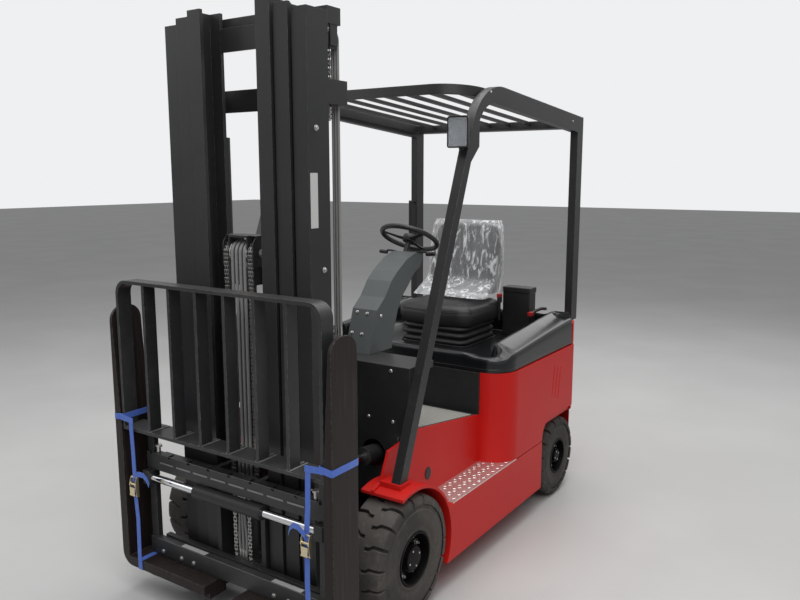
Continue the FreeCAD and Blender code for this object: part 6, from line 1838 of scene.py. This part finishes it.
class Dash:
    """Cowl bolts, steering wheel, stalk, levers and front plate bolts."""

    hub = Vector((0.150, behind(0.665), 1.530))
    tilt = math.radians(28)
    cowl_front = Vector((0, -0.953, 0.302))
    # Columns: X, distance behind the axle, height
    cowl_bolts = ((0.130, 0.261, 1.217), (0.186, 0.260, 1.215), (0.121, 0.232, 1.125),
                  (0.176, 0.2315, 1.124))
    # Columns: X, way out
    cowl_sides = ((0.236, 1), (0.100, -1))
    # Columns: X, distance behind the axle, height
    plate_bolts = ((0.428, 0.096, 1.018), (0.311, 0.096, 0.800), (0.438, 0.096, 0.796),
                   (0.453, 0.096, 0.666))

    def build(self, palette: Palette) -> None:
        """Makes the pieces of the dash."""
        self._bolts(palette)
        self._wheel(palette)
        self._stalks(palette)
        self._levers(palette)

    def _bolts(self, palette: Palette) -> None:
        """Domed bolts on the cowl and on the front plate."""
        bolts = Builder()
        for x, y, z in self.cowl_bolts:
            bolts.dome((x, behind(y), z), self.cowl_front, 0.0085, 0.006)
        for x, outward in self.cowl_sides:
            bolts.dome((x, behind(0.297), 1.204), Vector((outward, 0, 0)), 0.0085, 0.006)
        for x, y, z in self.plate_bolts:
            for _, side in SIDES:
                bolts.dome((x * side, behind(y), z), FORWARD, 0.0085, 0.006)
        bolts.finish("PanelBolts", palette.get("ZincBolt"), "chassis")

    def _placed(self, point: Point) -> Vector:
        """Point of the steering wheel's own axes in the machine's."""
        return self.hub + Matrix.Rotation(-self.tilt, 3, "X") @ Vector(point)

    def _wheel(self, palette: Palette) -> None:
        """Rim with finger grips, three moulded spokes, boss with its cap, and the spinner knob."""
        rim = Builder()
        radius, thick = 0.139, 0.0122
        path = [self._placed((radius * math.cos(a), radius * math.sin(a), 0)) for a in
                (2 * math.pi * k / 72 for k in range(73))]
        rim.tube(path, thick, 16)
        for angle in (90, 210, 330):
            a = math.radians(angle)
            across = Vector((-math.sin(a), math.cos(a), 0))
            along = Vector((math.cos(a), math.sin(a), 0))
            rings = []
            for reach, width, height, drop in ((0.018, 0.020, 0.007, -0.010),
                                               (0.055, 0.014, 0.0055, -0.008),
                                               (0.100, 0.011, 0.0045, -0.004),
                                               (0.133, 0.013, 0.0050, -0.001)):
                rings.append([self._placed(along * reach + across * (width * math.cos(t))
                                           + Vector((0, 0,
                                                     drop + height * math.sin(t)))) for t in circle(12)])
            loft(rim, rings)
        boss = [(-0.022, 0.0001), (-0.022, 0.030), (-0.012, 0.034), (0.004, 0.034), (0.012, 0.030),
                (0.0155, 0.022),
                (0.0157, 0.0001)]
        self._turned(rim, boss, 32)
        self._turned(rim, [(-0.117, 0.0001), (-0.117, 0.0135), (-0.020, 0.0135), (-0.020, 0.0001)], 24)
        wheel = rim.finish("SteeringWheel", palette.get("BlackPlastic"), "steering_wheel", "dash_plastic",
                           smooth=50)
        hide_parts("steering_wheel")

    def _turned(self, builder: Builder, profile: Sequence[tuple[float, float]], sides: int) -> None:
        """Turns a profile of (height, radius) pairs about the column."""
        points = []
        for height, radius in profile:
            for a in circle(sides):
                points.append(self._placed((radius * math.cos(a), radius * math.sin(a), height)))
        builder.faces(points, len(profile), sides)

    def _stalks(self, palette: Palette) -> None:
        """Direction stalk with its grip, and the lamp stalk, below the wheel."""
        stalks = Builder()
        base = self._placed((0, 0, -0.090))
        for end, radius in ((Vector((0.170, 0.010, 0.012)), 0.0052),
                            (Vector((-0.150, 0.000, 0.010)), 0.0048)):
            path = [base + end * share + Vector((0, 0, 0.012 * math.sin(math.pi * share))) for share in
                    (0.10, 0.25, 0.40, 0.55, 0.70)]
            stalks.tube(path, radius, 12)
            stalks.tube([base + end * share for share in (0.70, 0.80, 0.90, 0.98)], radius * 1.9, 14)
        stalks.rod(base - (self._placed((0, 0, 0.02)) - self.hub) * 1.2, base, 0.030, 28, 0.027)
        stalks.finish("ColumnStalks", palette.get("BlackPlastic"), "chassis", smooth=40)

    @staticmethod
    def _levers(palette: Palette) -> None:
        """Hydraulic levers with rubber boots and knobs on their box."""
        levers = Builder()
        low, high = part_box("levers")
        y = (low[1] + high[1]) / 2
        levers.box((low[0] + 0.001, low[1] + 0.001, low[2] + 0.0006),
                   (high[0] - 0.001, high[1] - 0.001, low[2] + 0.0255))
        first = high[0] - 0.025
        for number in range(4):
            centre = Vector((first - 0.045 * number, y, low[2]))
            for k in range(4):
                z = 0.024 + 0.008 * k
                levers.rod(centre + Vector((0, 0, z)), centre + Vector((0, 0, z + 0.0082)),
                           0.019 - 0.003 * k, 20,
                           0.0145 - 0.003 * k)
            levers.rod(centre + Vector((0, 0, 0.040)), centre + Vector((0, 0, 0.160)), 0.0052, 14)
            knob = [(-0.0145, 0.0001), (-0.0145, 0.007), (-0.0110, 0.0115), (-0.002, 0.0148),
                    (0.006, 0.0140),
                    (0.0125, 0.0090), (0.0148, 0.0001)]
            levers.lathe(knob, centre + Vector((0, 0, 0.170)), Axis.Z, 24)
        piece = levers.finish("HydraulicLevers", palette.get("BlackPlastic"), "chassis", "black_paint",
                              smooth=45)
        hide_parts("levers")


class Deck:
    """Ribs of the floor mat, raised pattern of the step plates, riser plugs and pedals' pads."""

    rib_pitch = 0.027
    floor_toe = 0.253
    floor_end = 0.815
    floor_low = 0.645
    floor_rise = 0.082
    mat_half = 0.452
    # Columns: distance behind the rib's middle, height over the floor
    rib = ((-0.0085, -0.001), (-0.0066, 0.0030), (0.0066, 0.0030), (0.0085, -0.001))
    step_top = 0.400

    def build(self, palette: Palette) -> None:
        """Makes the pieces of the deck and of the body's sides."""
        self._mat(palette)
        self._steps(palette)
        self._plugs(palette)
        self._pads(palette)

    def _floor_at(self, y: float) -> float:
        """Height of the floor's top at a distance behind the axle."""
        return self.floor_low + self.floor_rise - (y - self.floor_toe) * self.floor_rise / (
            self.floor_end - self.floor_toe)

    def _mat(self, palette: Palette) -> None:
        """Ribs that run from side to side."""
        ribs = Builder()
        y = self.floor_toe + 0.02
        while y < self.floor_end - 0.03:
            z = self._floor_at(y)
            ends = (-self.mat_half, self.mat_half)
            top = [[(x, behind(y + dy), z + dz) for dy, dz in self.rib[1:3]] for x in ends]
            base = [[(x, behind(y + dy), z + dz) for dy, dz in self.rib[::3]] for x in ends]
            slab(ribs, top, base)
            y += self.rib_pitch
        ribs.finish("MatRibs", palette.get("FloorMat"), "chassis", bevel=0.0006)

    def _steps(self, palette: Palette) -> None:
        """Raised lozenges on both step plates."""
        studs = Builder()
        for _, side in SIDES:
            low, high = 0.482, 0.610
            row = 0
            y = 0.322
            while y < 0.940:
                x = low + (0.012 if row % 2 else 0.0)
                column = 0
                while x < high:
                    turn = math.radians(38 if (row + column) % 2 else -38)
                    self._stud(studs, Vector((x * side, behind(y), self.step_top)), turn)
                    x += 0.026
                    column += 1
                y += 0.024
                row += 1
        studs.finish("StepStuds", palette.get("StepAlloy"), "chassis", smooth=20)

    @staticmethod
    def _stud(builder: Builder, place: Vector, turn: float) -> None:
        """One lozenge, sloped to its ridge."""
        along = Vector((math.cos(turn), math.sin(turn), 0))
        across = Vector((-along.y, along.x, 0))
        new = builder.bm.verts.new
        foot = [new(place + along * a + across * b - Vector((0, 0, 0.0005))) for a, b in
                ((-0.0105, 0), (0, -0.0038), (0.0105, 0), (0, 0.0038))]
        ridge = [new(place + along * a + Vector((0, 0, 0.0017))) for a in (-0.0055, 0.0055)]
        face = builder.bm.faces.new
        face((foot[0], foot[1], ridge[0]))
        face((foot[1], foot[2], ridge[1]))
        face((foot[1], ridge[1], ridge[0]))
        face((foot[2], foot[3], ridge[1]))
        face((foot[3], foot[0], ridge[0]))
        face((foot[3], ridge[0], ridge[1]))
        face(foot[::-1])

    @staticmethod
    def _plugs(palette: Palette) -> None:
        """Oval rubber plug in each riser."""
        plugs = Builder()
        for _, side in SIDES:
            rings = []
            for out, size in ((-0.001, 1.0), (0.0022, 1.0), (0.0036, 0.9), (0.0030, 0.55), (0.0030, 0.1)):
                rings.append([
                    Vector(((0.472 + out) * side, behind(0.326) + 0.025 * size * math.cos(a),
                            0.498 + 0.030 * size * math.sin(a)))
                    for a in circle(28)
                ])
            loft(plugs, rings)
        plugs.finish("RiserPlugs", palette.get("HoseBlack"), "chassis")

    @staticmethod
    def _pads(palette: Palette) -> None:
        """Ribbed rubber pads on the pedals."""
        pads = Builder()
        for x, y in ((0.040, 0.350), (-0.130, 0.370)):
            for number in range(6):
                share = 0.22 + 0.13 * number
                rear = y - 0.042 * share - 0.0015
                z = 0.727 - (y - 0.253) * 0.146 + 0.112 * share
                pads.box((x - 0.034, behind(rear), z - 0.004), (x + 0.034, behind(rear + 0.004), z + 0.004))
        pads.finish("PedalRibs", palette.get("Bellows"), "chassis", bevel=0.001)


class SideCovers:
    """Side covers taken from the frame's own solids, with three louvres pressed into each."""

    face = 0.618
    depth = 0.0035
    # Columns: distance behind the axle, height of the louvre's top
    louvres = ((1.425, 0.800), (1.467, 0.786), (1.509, 0.772))
    length = 0.185
    lean = 0.030
    half_width = 0.0085

    def build(self, palette: Palette, nodes: dict[str, bpy.types.Object]) -> None:
        """Makes both covers.

        Args:
            palette: the materials.
            nodes: the frame's nodes, whose covers are cut.
        """
        for name, side in SIDES:
            node = f"side_cover_{name}"
            cutter = self._cutter(side)
            cover = Builder()
            cover.bm.from_mesh(nodes[node].data)
            piece = cover.finish(f"SideCover{name.title()}", palette.get("RedPaint"), "chassis",
                                 "red_paint",
                                 smooth=20, weld=True)
            pressing = piece.modifiers.new("Louvres", "BOOLEAN")
            pressing.operation = "DIFFERENCE"
            pressing.solver = "EXACT"
            pressing.object = cutter
            bpy.context.view_layer.update()
            graph = bpy.context.evaluated_depsgraph_get()
            cut = bpy.data.meshes.new_from_object(piece.evaluated_get(graph))
            piece.modifiers.remove(pressing)
            piece.data = cut
            bpy.data.objects.remove(cutter)
            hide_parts(node)

    def _cutter(self, side: int) -> bpy.types.Object:
        """Three slim wedges that slope inward from the cover's face, as a helper object."""
        tool = Builder()
        for y, z in self.louvres:
            top, base = [], []
            for step in range(9):
                share = step / 8
                width = self.half_width * math.sin(math.pi * min(max(share, 0.05), 0.95)) ** 0.5
                middle = behind(y - self.lean * share)
                height = z - self.length * share
                top.append([((self.face + 0.001) * side, middle - width, height),
                            ((self.face + 0.001) * side, middle + width, height)])
                base.append([((self.face - self.depth) * side, middle - width * 0.2, height),
                             ((self.face - self.depth * 0.3) * side, middle + width * 0.8, height)])
            slab(tool, top, base)
        bmesh.ops.remove_doubles(tool.bm, verts=tool.bm.verts, dist=1e-6)
        bmesh.ops.recalc_face_normals(tool.bm, faces=tool.bm.faces)
        return tool.to_object("LouvreTool")


class WorkLamps:
    """Square lamps on the guard's front pillars."""

    width = 0.104

    def build(self, palette: Palette) -> None:
        """Makes both lamps: case, reflector, lens and foot."""
        cases, lenses, mirrors = Builder(), Builder(), Builder()
        low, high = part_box("work_lamps")
        depth = (low[1], high[1])
        for _, side in SIDES:
            x0, x1 = high[0] - self.width + 0.001, high[0] - 0.001
            z0, z1 = low[2] + 0.001, high[2] - 0.001
            centre = (x0 + x1) / 2 * side
            half, tall = (x1 - x0) / 2, (z1 - z0) / 2
            middle = (z0 + z1) / 2
            rings = []
            for y, size in ((depth[1] - 0.001, 0.55), (depth[1] - 0.012, 0.72), (depth[1] - 0.030, 0.94),
                            (depth[0] + 0.004, 1.0), (depth[0] + 0.001, 0.985), (depth[0] + 0.001, 0.93),
                            (depth[0] + 0.008, 0.90)):
                rings.append(self._square(centre, middle, half * size, tall * size, y, 0.010 * size))
            loft(cases, rings)
            loft(mirrors, [self._square(centre, middle, half * 0.89, tall * 0.89, depth[0] + 0.0072, 0.008),
                           self._square(centre, middle, half * 0.89, tall * 0.89, depth[0] + 0.0078,
                                        0.008)])
            self._facets(lenses, centre, middle, half * 0.90, tall * 0.90, depth[0] + 0.0050)
            cases.rod((centre, depth[1] - 0.020, z0 - 0.006), (centre, depth[1] - 0.020, z0 + 0.006), 0.010,
                      18)
        case = cases.finish("LampCases", palette.get("BlackPlastic"), "chassis", bevel=0.0008)
        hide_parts("work_lamps")
        lenses.finish("LampLenses", palette.lens(), "chassis", "lamp_case", smooth=15)
        mirrors.finish("LampReflectors", palette.get("Reflector"), "chassis")

    @staticmethod
    def _square(x: float, z: float, half: float, tall: float, y: float, corner: float) -> list[Vector]:
        """Rounded square across Y."""
        out = []
        for sx, sz, start in ((-1, -1, 180), (1, -1, 270), (1, 1, 0), (-1, 1, 90)):
            for cosine, sine in quarter(start, 4):
                out.append(Vector((x + sx * (half - corner) + corner * cosine, y,
                                   z + sz * (tall - corner) + corner * sine)))
        return out

    @staticmethod
    def _facets(builder: Builder, x: float, z: float, half: float, tall: float, y: float) -> None:
        """Lens of small pillow facets."""
        count = 8
        top, base = [], []
        for row in range(count * 2 + 1):
            upper, lower = [], []
            for column in range(count * 2 + 1):
                px = x - half + 2 * half * column / (count * 2)
                pz = z - tall + 2 * tall * row / (count * 2)
                bulge = 0.0016 if row % 2 and column % 2 else 0.0
                upper.append((px, y - bulge - 0.001, pz))
                lower.append((px, y + 0.0012, pz))
            top.append(upper)
            base.append(lower)
        slab(builder, top, base)


class GuardTrim:
    """Bolts of the overhead guard."""

    def build(self, palette: Palette) -> None:
        """Makes the bolts of the rear posts' feet and of the side rails."""
        bolts = Builder()
        for _, side in SIDES:
            for y, z in ((1.800, 1.016), (1.845, 1.016)):
                bolts.bolt((0.5430 * side, behind(y), z - 0.004), Vector((0, 0, 1)), 0.008, 0.008)
            for y in (0.70, 1.70):
                bolts.dome((0.565 * side, behind(y), 2.212 - 0.0744 * (y - 0.612)), Vector((side, 0, 0)),
                           0.006, 0.004)
        bolts.finish("GuardBolts", palette.get("ZincBolt"), "chassis", bevel=BOLT_EDGE)


def main() -> None:
    """Builds the surround and dresses every sub-assembly in order."""
    logging.basicConfig(level=logging.INFO, format="%(name)s: %(message)s")
    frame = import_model()
    palette = Palette()
    Stage().build()
    SteelFrame().dress(palette, frame["nodes"])
    Wheels().build(palette)
    Chains().build(palette)
    Hoses().build(palette)
    MastFittings().build(palette)
    LoadGuard().build(palette, frame["nodes"])
    TieDowns().build(palette)
    BatteryHood().build(palette)
    Seat().build(palette)
    ToolBox().build(palette)
    Dash().build(palette)
    Deck().build(palette)
    SideCovers().build(palette, frame["nodes"])
    WorkLamps().build(palette)
    GuardTrim().build(palette)


if __name__ == "__main__":
    main()
